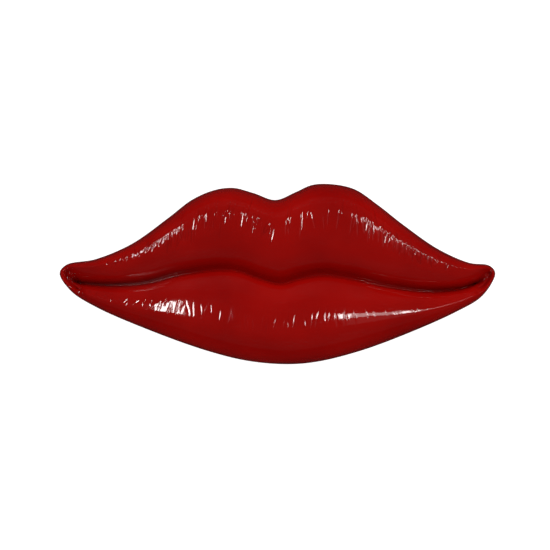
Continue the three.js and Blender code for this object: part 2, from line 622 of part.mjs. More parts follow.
class Helix extends THREE.Curve {
  constructor(radius, low, high, turns) {
    super();
    Object.assign(this, { radius, low, high, turns });
  }

  getPoint(t, target = new THREE.Vector3()) {
    const angle = 2 * Math.PI * this.turns * t;
    const height = mix(this.low, this.high, t);
    return target.set(this.radius * Math.cos(angle), this.radius * Math.sin(angle), height);
  }
}

function hookSpring() {
  const wire = new THREE.Shape().absarc(0, 0, HOOK_SPRING.wire / 2, 0, 2 * Math.PI);
  const clear = HOOK_SPRING.wire / 2 + HOOK_SPRING.clearance;
  const path = new Helix(HOOK_SPRING.radius, HOOK_FLANGE[1] + clear, MAIN_BOARD.z[0] - clear, HOOK_SPRING.turns);
  const geometry = new THREE.ExtrudeGeometry(wire, {
    extrudePath: path, steps: Math.round(HOOK_SPRING.turns * HOOK_SPRING.stepsPerTurn), curveSegments: 3,
    bevelEnabled: false,
  });
  return solid(geometry.translate(HOOK.x, HOOK.y, 0));
}

function rubberFoot(at) {
  const { low, radius, taperHigh, high } = FOOT;
  return turned([[0, 0], [low, 0], [radius, taperHigh], [radius, high], [0, high]], at, SIDES.round);
}

// A screw driven upwards, with its head below the seat and a cross recess in the head.
function screw([x, y], seat, tip, size) {
  const low = seat - size.headHigh;
  const turnedPart = turned(
    [
      [0, low], [size.head * 0.75, low], [size.head, low + size.headHigh * 0.4], [size.head, seat],
      [size.shank, seat], [size.shank, tip - 1], [0, tip],
    ],
    [x, y], SIDES.smallBoss,
  );
  const arm = size.head * 0.55;
  const slot = size.head * 0.12;
  const recess = [low - PAST, low + size.headHigh * 0.5];
  return cut(turnedPart, [
    box([x - arm, x + arm], [y - slot, y + slot], recess), box([x - slot, x + slot], [y - arm, y + arm], recess),
  ]);
}

// A screw driven downwards into a boss of the tray.
function boardScrew([x, y], seat, depth) {
  const { head, headHigh, shank } = SMALL_SCREW;
  return turned(
    [
      [0, seat - depth], [shank, seat - depth + 0.8], [shank, seat], [head, seat], [head, seat + headHigh * 0.6],
      [head * 0.7, seat + headHigh], [0, seat + headHigh],
    ],
    [x, y], SIDES.smallBore,
  );
}

function switchBody([, x, face]) {
  const front = face - SWITCH.padDeep;
  const body = box([x - SWITCH.bodyHalf, x + SWITCH.bodyHalf], [front - SWITCH.bodyDeep, front], SWITCH.bodyZ);
  const slotHigh = KNOB.halfHigh + SKIN;
  const track = box(
    [x - SWITCH.slotHalf, x + SWITCH.slotHalf], [front - SWITCH.trackDeep, front + PAST],
    [SWITCH.middle - slotHigh, SWITCH.middle + slotHigh],
  );
  return body.subtract(track);
}

function switchKnob([, x, face]) {
  const middle = x + KNOB.restAt;
  return box(
    [middle - KNOB.halfWidth, middle + KNOB.halfWidth], [face - SWITCH.padDeep - KNOB.foot, face + KNOB.proud],
    [SWITCH.middle - KNOB.halfHigh, SWITCH.middle + KNOB.halfHigh],
  );
}

function ballastWeight() {
  const through = [BALLAST.z[0] - PAST, BALLAST.z[1] + PAST];
  return cut(block(BALLAST), BALLAST.screws.map((at) => post(CASE_BOSS.bore, through, at, SIDES.bore)));
}

// ---------------------------------------------------------------- the telephone

const telephone = new THREE.Group();

function addPiece(name, made, material) {
  const mesh = new THREE.Mesh(geometryOf(made), material);
  mesh.name = name;
  telephone.add(mesh);
}

function addNumbered(prefix, places, make, material) {
  places.forEach((at, i) => addPiece(prefix + "_" + (i + 1), make(at), material));
}

addPiece("upper_shell", upperShell(), RED_GLOSS);
addPiece("lower_shell", lowerShell(), RED_GLOSS);
addPiece("keypad_bezel", keypadBezel(), BLACK_SATIN);
allKeys().forEach((key) => addPiece(key.name, keySolid(key), KEY_WHITE));
addPiece("keypad_membrane", keypadMembrane(), GREY_RUBBER);
addPiece("keypad_board", keypadBoard(), BOARD);
addPiece("main_board", mainBoard(), BOARD);
addPiece("line_transformer", lineTransformer(), YELLOW_TAPE);
addPiece("dialler_chip", block(DIALLER_CHIP), BLACK_PART);
addPiece("ringer_buzzer", ringerBuzzer(), BLACK_PART);
addPiece("filter_capacitor", capacitor(), BLACK_PART);
addPiece("line_jack", lineJack(), CLEAR_PLASTIC);
addPiece("hook_plunger", hookPlunger(), KEY_WHITE);
addPiece("hook_spring", hookSpring(), STEEL);
addPiece("hook_switch", hookSwitch(), BLACK_PART);
addPiece("earpiece_speaker", turned(SPEAKER, [EAR.x, EAR.y]), STEEL);
addPiece("earpiece_gasket", earpieceGasket(), FOAM);
addPiece("earpiece_retainer", earpieceRetainer(), BLACK_PART);
addPiece("microphone_boot", microphoneBoot(), RUBBER);
addPiece("microphone_capsule", turned(MIC_CAPSULE, [MIC.x, MIC.y], SIDES.round), STEEL);
addPiece("ballast_weight", ballastWeight(), STEEL);
SWITCHES.forEach((place) => {
  addPiece(place[0] + "_body", switchBody(place), BLACK_PART);
  addPiece(place[0] + "_knob", switchKnob(place), BLACK_SATIN);
});
addNumbered("rubber_foot", FEET, rubberFoot, RUBBER);
addNumbered("case_screw", CASE_SCREWS, (at) => screw(at, CASE_BOSS.seat, SCREW.tip, SCREW), STEEL);
addNumbered("ballast_screw", BALLAST.screws, (at) => screw(at, BALLAST.z[0], BALLAST_BOSS.screwTip, SCREW), STEEL);
addNumbered(
  "keypad_board_screw", KEY_BOARD_BOSSES, (at) => boardScrew(at, KEY_BOARD.z[1], SCREW_DEPTH.keypadBoard), STEEL,
);
addNumbered("main_board_screw", MAIN_BOARD_BOSSES, (at) => boardScrew(at, BOARD_TOP, SCREW_DEPTH.mainBoard), STEEL);
addNumbered("retainer_screw", earScrews(), (at) => boardScrew(at, RETAINER.z[1], SCREW_DEPTH.retainer), STEEL);

export default telephone;
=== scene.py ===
"""Looks of a novelty telephone shaped as closed lips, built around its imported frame.

The lips face up, +X runs to the mouthpiece end and +Y to the upper lip. Shapes are worked out in
millimetres and written to meshes in metres.
"""
import json
import math
import random

import bpy
import numpy as np
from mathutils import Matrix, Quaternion, Vector


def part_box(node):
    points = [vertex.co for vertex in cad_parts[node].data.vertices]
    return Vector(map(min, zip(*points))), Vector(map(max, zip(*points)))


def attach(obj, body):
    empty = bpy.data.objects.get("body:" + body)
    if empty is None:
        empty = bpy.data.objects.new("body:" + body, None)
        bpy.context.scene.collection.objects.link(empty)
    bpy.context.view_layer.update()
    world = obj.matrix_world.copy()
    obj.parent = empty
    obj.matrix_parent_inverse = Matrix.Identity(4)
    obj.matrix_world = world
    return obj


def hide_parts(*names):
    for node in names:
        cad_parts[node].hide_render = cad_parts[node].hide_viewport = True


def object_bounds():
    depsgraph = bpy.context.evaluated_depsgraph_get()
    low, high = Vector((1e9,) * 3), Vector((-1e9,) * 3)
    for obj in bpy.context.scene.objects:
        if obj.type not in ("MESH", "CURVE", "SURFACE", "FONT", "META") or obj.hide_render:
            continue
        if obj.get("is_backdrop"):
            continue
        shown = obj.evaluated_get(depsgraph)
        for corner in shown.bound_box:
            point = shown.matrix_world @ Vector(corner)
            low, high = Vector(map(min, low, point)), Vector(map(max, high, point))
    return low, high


MM = 0.001

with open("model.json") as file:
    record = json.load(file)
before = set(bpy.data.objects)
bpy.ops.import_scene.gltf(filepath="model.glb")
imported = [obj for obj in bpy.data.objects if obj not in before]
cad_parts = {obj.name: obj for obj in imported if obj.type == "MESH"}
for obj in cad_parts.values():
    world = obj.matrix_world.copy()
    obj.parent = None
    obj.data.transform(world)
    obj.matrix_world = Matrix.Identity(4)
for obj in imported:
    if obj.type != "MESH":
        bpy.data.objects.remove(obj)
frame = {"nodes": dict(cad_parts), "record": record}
cad_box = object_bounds()


# ---- camera, stage and light

FIELD_MM = 272.5  # width of the picture at the object
CAMERA_HEIGHT_MM = 2400
CAMERA_AIM_MM = (-1.2, -0.5)
SILHOUETTE_MM = 24  # height of the widest part of the case
SENSOR_MM = 36
FAR_CLIP = 20  # metres
FLOOR_HALF = 6.0  # metres

# Lights that show only as reflections, facing down: name, location, size, radiance and turn in degrees.
GLOSS_LIGHTS = [
    ("left_softbox", (-0.51, 0.03, 1.0), (0.19, 0.36), 26, 0),
    ("right_strip", (0.9, 0.16, 1.0), (1.4, 0.08), 5, 13),
    ("strip_near_end", (0.24, 0.01, 0.99), (0.07, 0.09), 20, 0),
    ("strip_middle", (0.66, 0.11, 0.99), (0.14, 0.12), 20, 0),
    ("right_sheen", (0.55, -0.10, 1.01), (0.6, 0.28), 0.2, 10),
]
# Lights that give only scattered light, facing FILL_TARGET: name, location, size and radiance.
FILL_LIGHTS = [
    ("fill_sheet", (0.0, 1.7, 1.1), (1.8, 1.2), 2.6),
    ("fill_front", (0.2, -1.5, 0.8), (1.6, 1.0), 0.9),
    ("fill_left", (-1.5, 0.3, 1.0), (1.0, 1.0), 1.3),
    ("fill_right", (1.5, 0.3, 1.0), (1.0, 1.0), 1.3),
]
FILL_TARGET = (0, 0, 0.03)


def add_object(name, data):
    made = bpy.data.objects.new(name, data)
    bpy.context.collection.objects.link(made)
    return made


def make_camera():
    data = bpy.data.cameras.new("camera")
    data.sensor_width = SENSOR_MM
    data.lens = SENSOR_MM * (CAMERA_HEIGHT_MM - SILHOUETTE_MM) / FIELD_MM
    data.clip_end = FAR_CLIP
    camera = add_object("camera", data)
    camera.location = (CAMERA_AIM_MM[0] * MM, CAMERA_AIM_MM[1] * MM, CAMERA_HEIGHT_MM * MM)
    bpy.context.scene.camera = camera


def area_light(name, location, target, size, radiance, reflected, turn=0):
    """A rectangular light, (across, up) in size, whose surface has the given radiance. It gives either
    reflections or scattered light, not both."""
    data = bpy.data.lights.new(name, "AREA")
    data.shape = "RECTANGLE"
    data.size, data.size_y = size
    data.energy = radiance * size[0] * size[1] * math.pi
    light = add_object(name, data)
    light.visible_glossy = reflected
    light.visible_diffuse = not reflected
    light.location = location
    facing = (Vector(target) - Vector(location)).to_track_quat("-Z", "Y")
    light.rotation_euler = (facing @ Quaternion((0, 0, 1), math.radians(turn))).to_euler()


def by_ray(tree, seen, mirrored, scattered):
    """A number that differs for the camera's rays, for mirror reflections and for scattered light."""
    path = tree.nodes.new("ShaderNodeLightPath")
    value = scattered
    for ray, number in (("Is Glossy Ray", mirrored), ("Is Camera Ray", seen)):
        pick = tree.nodes.new("ShaderNodeMix")
        tree.links.new(path.outputs[ray], pick.inputs["Factor"])
        if isinstance(value, float):
            pick.inputs["A"].default_value = value
        else:
            tree.links.new(value, pick.inputs["A"])
        pick.inputs["B"].default_value = number
        value = pick.outputs["Result"]
    return value


def make_world():
    """A white room for the camera and for soft light, whose mirror image stays dim."""
    world = bpy.data.worlds.new("studio")
    bpy.context.scene.world = world
    world.use_nodes = True
    tree = world.node_tree
    background = tree.nodes["Background"]
    background.inputs["Color"].default_value = (1, 1, 1, 1)
    strength = by_ray(tree, seen=1.0, mirrored=0.05, scattered=0.35)
    tree.links.new(strength, background.inputs["Strength"])


def make_floor():
    """A matt white floor that glows a little for the camera, so that it shows white."""
    mesh = bpy.data.meshes.new("floor")
    corners = [(x * FLOOR_HALF, y * FLOOR_HALF, 0) for x, y in ((-1, -1), (1, -1), (1, 1), (-1, 1))]
    mesh.from_pydata(corners, [], [(0, 1, 2, 3)])
    floor = add_object("floor", mesh)
    material = bpy.data.materials.new("white_floor")
    material.use_nodes = True
    tree = material.node_tree
    shader = tree.nodes["Principled BSDF"]
    shader.inputs["Roughness"].default_value = 0.9
    shader.inputs["Specular IOR Level"].default_value = 0.0
    shader.inputs["Emission Color"].default_value = (1, 1, 1, 1)
    albedo = tree.nodes.new("ShaderNodeCombineColor")
    for channel in albedo.inputs[:3]:
        tree.links.new(by_ray(tree, seen=0.5, mirrored=0.02, scattered=0.7), channel)
    tree.links.new(albedo.outputs["Color"], shader.inputs["Base Color"])
    glow = by_ray(tree, seen=0.92, mirrored=0.0, scattered=0.0)
    tree.links.new(glow, shader.inputs["Emission Strength"])
    mesh.materials.append(material)
    floor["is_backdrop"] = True


make_camera()
make_world()
make_floor()
bpy.context.scene.view_settings.view_transform = "Standard"
for name, location, size, radiance, turn in GLOSS_LIGHTS:
    area_light(name, location, (location[0], location[1], 0), size, radiance, True, turn)
for name, location, size, radiance in FILL_LIGHTS:
    area_light(name, location, FILL_TARGET, size, radiance, False)


# ---- mesh helpers

def mesh_from(name, vertices_mm, faces):
    mesh = bpy.data.meshes.new(name)
    mesh.from_pydata([tuple(v) for v in np.asarray(vertices_mm) * MM], [], faces)
    mesh.validate()
    mesh.polygons.foreach_set("use_smooth", [True] * len(mesh.polygons))
    return mesh


# ---- the form of the lips

# Points of the outline and of the mouth line, as (x, y), seen from above.
LEFT_TIP = (-107.9, 0.4)
RIGHT_TIP = (107.9, 0.8)
UPPER_OUTLINE = [
    (-104.6, 4.6), (-90, 7.4), (-72, 15), (-54, 27.8), (-42.4, 36.7), (-31.5, 41.5), (-22, 42.7), (-12, 40.2),
    (-1, 36.7), (9, 40.6), (17, 44.1), (26, 44.6), (38, 42.1), (50, 34), (62, 24.6), (79.5, 12.4), (95, 5.6),
    (105, 4.2),
]
LOWER_OUTLINE = [
    (-102, -8.7), (-90, -16.3), (-66, -26.8), (-36, -37.7), (-15, -43), (5, -44.7), (20, -43.4), (41, -38.1),
    (65, -29.2), (88.4, -18.8), (100.3, -11.9), (106, -4.8),
]
MOUTH_LINE = [
    (-99, -4.6), (-82, -5.7), (-65, -4.8), (-46, -0.2), (-28, 2), (-18, 1), (-8.7, -2.4), (1.5, -4.8),
    (11, -2.4), (22, -0.6), (36, -2.4), (55, -6.6), (75, -8.8), (90, -7.4), (99, -4.4),
]
OUTLINE_HALF = 107.9
MOUTH_HALF = 98
PER_SPAN = 60  # points of the outline's curve between two of its given points
EVEN_SPACING = 0.55  # the rays stand partly evenly, and partly closer together at the tips
TIP_SPACING = 0.45
MOST_INSET = 0.62  # of the way from the outline to the mouth line
PARTING = 22  # height of the seam above the table
PARTING_GAP = 0.3
CASE_WALL = 2.5
GROOVE = 23  # height of the mouth line above the seam, in the middle
GROOVE_FULLNESS = 3
TIP_RIM = 11
TIP_GROOVE = 6.5
# A lip's cross-section, as heights above the seam, and how it falls towards the tips.
UPPER_LIP = {
    "crest": 34, "crest_at": 0.7, "roundness": 2.5, "fullness": 4,
    "rise": [(0, 0), (0.03, 0.03), (0.12, 0.27), (0.25, 0.52), (0.45, 0.76), (0.72, 0.94), (1, 1)],
}
LOWER_LIP = {
    "crest": 37, "crest_at": 0.5, "roundness": 2.8, "fullness": 2.6,
    "rise": [
        (0, 0), (0.02, 0.2), (0.045, 0.38), (0.08, 0.48), (0.2, 0.64), (0.5, 0.89), (0.75, 0.98), (1, 1),
    ],
}
TIP_CREST_AT = 0.8
TIP_FALL = 0.999  # how much of a lip's fullness is gone at the very tip
TIP_BLEND = 0.35  # the fullness below which the crest moves out to TIP_CREST_AT
STEEP = 0.5  # lift of a ray from which its cross-section is all the upper or all the lower lip's


def smooth_step(low, high, value):
    share = np.clip((value - low) / (high - low), 0, 1)
    return share * share * (3 - 2 * share)


def curve_through(points, closed, per_span):
    """A centripetal Catmull-Rom curve: equal steps of its parameter on every span."""
    p = np.array(points, float)
    count = len(p)
    if closed:
        before, after = p[-1], p[[0, 1]]
    else:
        before, after = 2 * p[0] - p[1], np.array([2 * p[-1] - p[-2]])
    q = np.vstack([before, p, after])
    spans = count if closed else count - 1
    t = (np.arange(per_span) / per_span)[:, None]
    out = []
    for i in range(spans):
        p0, p1, p2, p3 = q[i:i + 4]
        pairs = ((p0, p1), (p1, p2), (p2, p3))
        d0, d1, d2 = (max(np.linalg.norm(b - a) ** 0.5, 1e-4) for a, b in pairs)
        m1 = ((p1 - p0) / d0 - (p2 - p0) / (d0 + d1) + (p2 - p1) / d1) * d1
        m2 = ((p2 - p1) / d1 - (p3 - p1) / (d1 + d2) + (p3 - p2) / d2) * d1
        c2 = -3 * p1 + 3 * p2 - 2 * m1 - m2
        c3 = 2 * p1 - 2 * p2 + m1 + m2
        out.append(p1 + m1 * t + c2 * t ** 2 + c3 * t ** 3)
    out.append(p[:1] if closed else p[-1:])
    return np.vstack(out)


def points_along(line, shares):
    lengths = np.concatenate([[0], np.cumsum(np.linalg.norm(np.diff(line, axis=0), axis=1))])
    wanted = np.asarray(shares) * lengths[-1]
    return np.stack([np.interp(wanted, lengths, line[:, axis]) for axis in (0, 1)], axis=1)


mouth_curve = curve_through(MOUTH_LINE, False, 40)


class Rays:
    """Straight lines from the mouth line out to the outline, from the left tip to the right. There is a set
    for each lip: side 0 is the upper lip and side 1 the lower."""

    def __init__(self, stations):
        outline = curve_through([LEFT_TIP, *UPPER_OUTLINE, RIGHT_TIP, *LOWER_OUTLINE[::-1]], True, PER_SPAN)
        turn = (len(UPPER_OUTLINE) + 1) * PER_SPAN
        even = np.linspace(0, 1, stations + 1)
        shares = even * EVEN_SPACING + (1 - np.cos(np.pi * even)) / 2 * TIP_SPACING
        upper = points_along(outline[:turn + 1], shares)
        lower = points_along(outline[turn:][::-1], shares)
        x = (upper[:, 0] + lower[:, 0]) / 2 * (MOUTH_HALF / OUTLINE_HALF)
        self.root = np.stack([x, np.interp(x, mouth_curve[:, 0], mouth_curve[:, 1])], axis=1)
        self.edges = (upper, lower)

    def reach(self, side):
        return np.linalg.norm(self.edges[side] - self.root, axis=1)

    def inset(self, side, distance):
        """Points a distance inside the outline."""
        share = 1 - np.minimum(distance / self.reach(side), MOST_INSET)
        return self.root + (self.edges[side] - self.root) * share[:, None]


def smooth_profile(knots, value):
    """A monotone cubic through the knots."""
    x, y = (np.array(column, float) for column in zip(*knots))
    h = np.diff(x)
    slope = np.diff(y) / h
    inner = np.where(slope[1:] * slope[:-1] > 0, 2 / (1 / slope[1:] + 1 / slope[:-1]), 0)
    m = np.concatenate([[slope[0]], inner, [0]])
    i = np.clip(np.searchsorted(x, value) - 1, 0, len(h) - 1)
    t = (value - x[i]) / h[i]
    return (
        y[i] * (1 + 2 * t) * (1 - t) ** 2 + m[i] * h[i] * t * (1 - t) ** 2
        + y[i + 1] * t * t * (3 - 2 * t) + m[i + 1] * h[i] * t * t * (t - 1)
    )


def lip_profile(share, lip, along):
    """Height above the seam for shares of the way out, at places along the lips from -1 to 1."""
    fullness = 1 - np.abs(along) ** lip["fullness"] * TIP_FALL
    high = TIP_RIM + (lip["crest"] - TIP_RIM) * fullness
    low = TIP_GROOVE + (GROOVE - TIP_GROOVE) * (1 - np.abs(along) ** GROOVE_FULLNESS)
    top_at = TIP_CREST_AT + (lip["crest_at"] - TIP_CREST_AT) * smooth_step(0, TIP_BLEND, fullness)
    inner = low + (high - low) * smooth_profile(lip["rise"], np.clip(share / top_at, 0, 1))
    down = np.clip((share - top_at) / (1 - top_at), 0, 1)
    outer = high * (1 - down ** lip["roundness"]) ** (1 / lip["roundness"])
    return np.where(share < top_at, inner, outer)


def lip_height(rays, side, shares):
    """Height above the seam for every ray and every share of the way out, before the lip lines."""
    share = np.asarray(shares)[None, :]
    along = np.clip(rays.root[:, 0] / MOUTH_HALF, -1, 1)[:, None]
    edge, root = rays.edges[side], rays.root
    lift = (edge[:, 1] - root[:, 1]) / rays.reach(side)
    upness = smooth_step(-STEEP, STEEP, lift)[:, None]
    lower = lip_profile(share, LOWER_LIP, along)
    return lower + (lip_profile(share, UPPER_LIP, along) - lower) * upness


# Hollows at the corners of the mouth, between the ends of the lips and the rims of the tips.
CORNER_HOLLOWS = [
    [(-105, 3.6), (-102.2, -1), (-98.8, -6), (-96.5, -11.5)],
    [(105.4, 2.4), (103.8, -0.8), (101.6, -4.6), (99.4, -8.2)],
]
HOLLOW_DEPTH = 5
HOLLOW_WIDTH = 2.2
# A hollow's depth along its line follows this part of half a wave.
HOLLOW_START = 0.12
HOLLOW_PART = 0.76
HOLLOW_FLOOR = 2.5  # least height above the seam in a hollow


def hollow_depth(at):
    depth = np.zeros(at.shape[:-1])
    for line in CORNER_HOLLOWS:
        curve = curve_through(line, False, 8)
        along = np.linspace(0, 1, len(curve))
        away = np.linalg.norm(at[..., None, :] - curve, axis=-1)
        nearest = away.argmin(axis=-1)
        ends = np.sin(np.pi * np.clip(HOLLOW_START + HOLLOW_PART * along[nearest], 0, 1))
        depth = np.maximum(depth, ends * np.exp(-((away.min(axis=-1) / HOLLOW_WIDTH) ** 2)))
    return depth * HOLLOW_DEPTH


# Stretches of engraved lines across the crests: lip (0 upper, 1 lower), from x, to x, how many, from share,
# to share, lean in millimetres, greatest depth.
LIP_LINES = [
    (0, -90, -84, 2, 0.55, 0.80, 0.5, 0.16), (0, -84, -56, 26, 0.60, 0.86, 0.5, 0.34),
    (0, -56, -2, 33, 0.42, 0.86, 0.7, 0.27), (0, 2, 42, 11, 0.42, 0.84, 0.4, 0.26),
    (0, 42, 76, 30, 0.50, 0.86, -0.2, 0.34), (0, 76, 92, 9, 0.60, 0.90, -0.2, 0.26),
    (1, -98, -70, 16, 0.36, 0.60, -0.5, 0.2), (1, -70, -54, 5, 0.36, 0.64, -0.6, 0.24),
    (1, -54, -34, 7, 0.36, 0.64, -0.7, 0.17), (1, -34, 28, 18, 0.36, 0.64, -0.5, 0.18),
    (1, 28, 97, 16, 0.36, 0.66, 0.3, 0.1),
]
LINE_SEED = 7
LINE_PLACE = (0.1, 0.9)  # in its share of the stretch
LINE_SCATTER = 0.14  # of the middles, as a part of the stretch's shares
LINE_HALF = (0.2, 0.46)  # half length, as a part of the stretch's shares
LEAN_SCATTER = 0.6
LINE_DEPTH = (0.5, 1)  # of the greatest depth
LINE_WIDTH = (0.26, 0.34)
FORK_CHANCE = 0.22
FORK_SPREAD = (1.2, 2.4)
FORK_LENGTH = 0.7
# How a line wavers: by how much, how fast along it, and how its start differs from the next one's.
WAVER = 0.15
WAVER_ALONG = 5
WAVER_START = 40


def lip_lines():
    """Short grooves: (lip, x at the inner and at the outer end, inner and outer share, depth, width)."""
    draw = random.Random(LINE_SEED)
    lines = []
    for side, low, high, count, start, end, slant, deep in LIP_LINES:
        for i in range(count):
            x = low + (high - low) * (i + draw.uniform(*LINE_PLACE)) / count
            middle = draw.gauss((start + end) / 2, (end - start) * LINE_SCATTER)
            half = (end - start) * draw.uniform(*LINE_HALF)
            lean = draw.gauss(slant, LEAN_SCATTER)
            depth = deep * draw.uniform(*LINE_DEPTH)
            width = draw.uniform(*LINE_WIDTH)
            inner = middle - half
            lines.append((side, x - lean, x + lean, inner, middle + half, depth, width))
            if draw.random() < FORK_CHANCE:  # a second line joins the first at its inner end
                fork = x + lean + draw.choice((-1, 1)) * draw.uniform(*FORK_SPREAD)
                lines.append((side, x - lean, fork, inner, middle + half * FORK_LENGTH, depth, width))
    return lines


def line_depth(rays, side, shares, lines):
    """How deep the lip lines cut at every ray and share."""
    share = np.asarray(shares)[None, :]
    at_x = rays.root[:, :1] + (rays.edges[side][:, :1] - rays.root[:, :1]) * share
    depth = np.zeros_like(at_x)
    for lip, x_in, x_out, inner, outer, deep, width in lines:
        if lip != side:
            continue
        along = np.clip((share - inner) / (outer - inner), 0, 1)
        fade = np.sin(np.pi * along) ** 0.5
        waver = WAVER * np.sin(WAVER_ALONG * along + WAVER_START * inner)
        across = (at_x - (x_in + (x_out - x_in) * along) - waver) / width
        depth = np.maximum(depth, deep * fade * np.exp(-across * across))
    return depth


def swept_mesh(name, paths, on_mouth_line=True):
    """A closed mesh from one path of points for every ray of each lip. The two lips share their paths at the
    tips, and also the first and last point of every path where these lie on the mouth line."""
    upper, lower = paths
    stations, points = upper.shape[:2]
    ids = np.arange(stations * points).reshape(stations, points)
    low_ids = ids + stations * points
    low_ids[0], low_ids[-1] = ids[0], ids[-1]
    if on_mouth_line:
        low_ids[:, 0], low_ids[:, -1] = ids[:, 0], ids[:, -1]
    else:
        ids[:, -1] = ids[:, 0]
        low_ids[:, -1] = low_ids[:, 0]
    faces = []
    for grid, turn in ((ids, 1), (low_ids, -1)):
        corners = [grid[:-1, :-1], grid[1:, :-1], grid[1:, 1:], grid[:-1, 1:]][::turn]
        faces.append(np.stack(corners, axis=-1).reshape(-1, 4))
    faces = np.concatenate(faces)
    vertices = np.concatenate([upper.reshape(-1, 3), lower.reshape(-1, 3)])
    used, faces = np.unique(faces, return_inverse=True)
    return mesh_from(name, vertices[used], faces.reshape(-1, 4).tolist()), used


SHELL_STATIONS = 850
# The upper shell's points on a ray: in the groove, across the lip lines and down the outer wall.
GROOVE_POINTS, MIDDLE_POINTS, WALL_POINTS = 9, 30, 11
GROOVE_END = 0.1
WALL_START = 0.86
WALL_CROWDING = 1.7  # above 1 they stand closer together towards the edge
LINER_SHARES = [1, 0.98, 0.9, 0.72, 0.45, 0.15, 0]
SEAM_EDGE = PARTING + PARTING_GAP / 2  # lower edge of the shell
SEAM_ROLL = [(0.12, 0.1), (0.4, 0), (CASE_WALL, 0)]  # (inset, height above that edge), from outside to inside
LEAST_OUTSIDE = 0.35  # least heights of the two faces above that edge
LEAST_INSIDE = 0.2
# The groove stays duller left of the middle, from one x to the other, out to a share of the way.
DULL_FROM = 30
DULL_FULL = 60
DULL_SHARE = 0.3


def shell_shares():
    inner = np.linspace(0, GROOVE_END, GROOVE_POINTS)
    middle = np.linspace(GROOVE_END, WALL_START, MIDDLE_POINTS)[1:]
    outer = 1 - (1 - WALL_START) * (1 - np.linspace(0, 1, WALL_POINTS)[1:]) ** WALL_CROWDING
    return np.concatenate([inner, middle, outer])


def with_height(at, height):
    return np.concatenate([at, np.broadcast_to(height, at.shape[:-1])[..., None]], axis=-1)


def spread_out(root, edge, shares):
    """Points at shares of the way from the mouth line to an edge, for every ray."""
    return root[:, None, :] + (edge - root)[:, None, :] * np.asarray(shares)[None, :, None]


def make_upper_shell():
    """The lips moulding, whose point attributes say where a lip line runs and where the groove stays dull."""
    rays = Rays(SHELL_STATIONS)
    shares = shell_shares()
    lines = lip_lines()
    root = rays.root
    paths, marks, shelter = [], [], []
    for side in (0, 1):
        at = spread_out(root, rays.edges[side], shares)
        engraved = line_depth(rays, side, shares, lines)
        height = lip_height(rays, side, shares) - engraved
        height -= np.minimum(hollow_depth(at), np.maximum(height - HOLLOW_FLOOR, 0))
        outside = with_height(at, np.maximum(PARTING + height, SEAM_EDGE + LEAST_OUTSIDE))
        roll = []
        for inset, up in SEAM_ROLL:
            roll.append(with_height(rays.inset(side, inset)[:, None, :], SEAM_EDGE + up))
        inner_at = spread_out(root, rays.inset(side, CASE_WALL), LINER_SHARES)
        inner_height = PARTING + lip_height(rays, side, LINER_SHARES) - CASE_WALL
        inside = with_height(inner_at, np.maximum(inner_height, SEAM_EDGE + LEAST_INSIDE))
        path = np.concatenate([outside, *roll, inside], axis=1)
        paths.append(path)
        others = np.zeros((len(root), path.shape[1] - len(shares)))
        marks.append(np.concatenate([engraved, others], axis=1))
        leftness = smooth_step(DULL_FROM, DULL_FULL, -root[:, :1])
        sheltered = (1 - smooth_step(0, DULL_SHARE, shares)) * leftness
        shelter.append(np.concatenate([sheltered, others], axis=1))
    mesh, used = swept_mesh("lips_moulding", paths)
    for label, values in (("lip_line", marks), ("groove", shelter)):
        attribute = mesh.attributes.new(label, "FLOAT", "POINT")
        numbers = np.concatenate([v.reshape(-1) for v in values])[used]
        attribute.data.foreach_set("value", numbers.astype(np.float32))
    return add_object("lips_moulding", mesh)


# ---- solids for the tray and the small pieces

LEAST_CORNER = 0.02
LEAST_RADIUS = 0.001
CREASE_DEGREES = 32


def joined(name, parts):
    """One mesh from (vertices, faces) parts that don't touch each other."""
    vertices, faces, base = [], [], 0
    for part_vertices, part_faces in parts:
        vertices.extend(part_vertices)
        faces.extend(tuple(base + i for i in face) for face in part_faces)
        base += len(part_vertices)
    return mesh_from(name, vertices, faces)


def loft(outlines):
    """A closed solid through outlines, each a list of the same number of points, from the lowest to the
    highest. The first and last outlines are closed by one face each."""
    count = len(outlines[0])
    vertices = [point for outline in outlines for point in outline]
    faces = [tuple(range(count))[::-1]]
    for level in range(len(outlines) - 1):
        a, b = level * count, (level + 1) * count
        faces += [(a + i, a + (i + 1) % count, b + (i + 1) % count, b + i) for i in range(count)]
    faces.append(tuple(range(len(vertices) - count, len(vertices))))
    return vertices, faces


def rounded_outline(x_range, y_range, corner, z, inset=0, per_corner=8):
    """A rectangle with round corners, going anticlockwise."""
    (x0, x1), (y0, y1) = x_range, y_range
    radius = max(corner - inset, LEAST_CORNER)
    reach = radius + inset
    left, right = x0 + reach, x1 - reach
    front, back = y0 + reach, y1 - reach
    centres = [(right, back), (left, back), (left, front), (right, front)]
    points = []
    for quarter, (x, y) in enumerate(centres):
        for i in range(per_corner + 1):
            angle = math.pi / 2 * (quarter + i / per_corner)
            points.append((x + radius * math.cos(angle), y + radius * math.sin(angle), z))
    return points


def rounded_solid(x_range, y_range, corner, levels, per_corner=8):
    """A loft of rounded rectangles at (z, inset) levels."""
    return loft([rounded_outline(x_range, y_range, corner, z, inset, per_corner) for z, inset in levels])


def angles(count):
    return [2 * math.pi * i / count for i in range(count)]


def circle(at, radius, count):
    return [(at[0] + radius * math.cos(a), at[1] + radius * math.sin(a)) for a in angles(count)]


def turned(profile, at, sides=48):
    """A turned solid: (radius, z) from the lowest point of the axis to the highest."""
    return loft([[(x, y, z) for x, y in circle(at, max(r, LEAST_RADIUS), sides)] for r, z in profile])


def posts(places, radius, low, high, sides):
    return [turned([(radius, low), (radius, high)], at, sides) for at in places]


def box(x_range, y_range, z_range):
    return rounded_solid(x_range, y_range, LEAST_CORNER, [(z_range[0], 0), (z_range[1], 0)], 1)


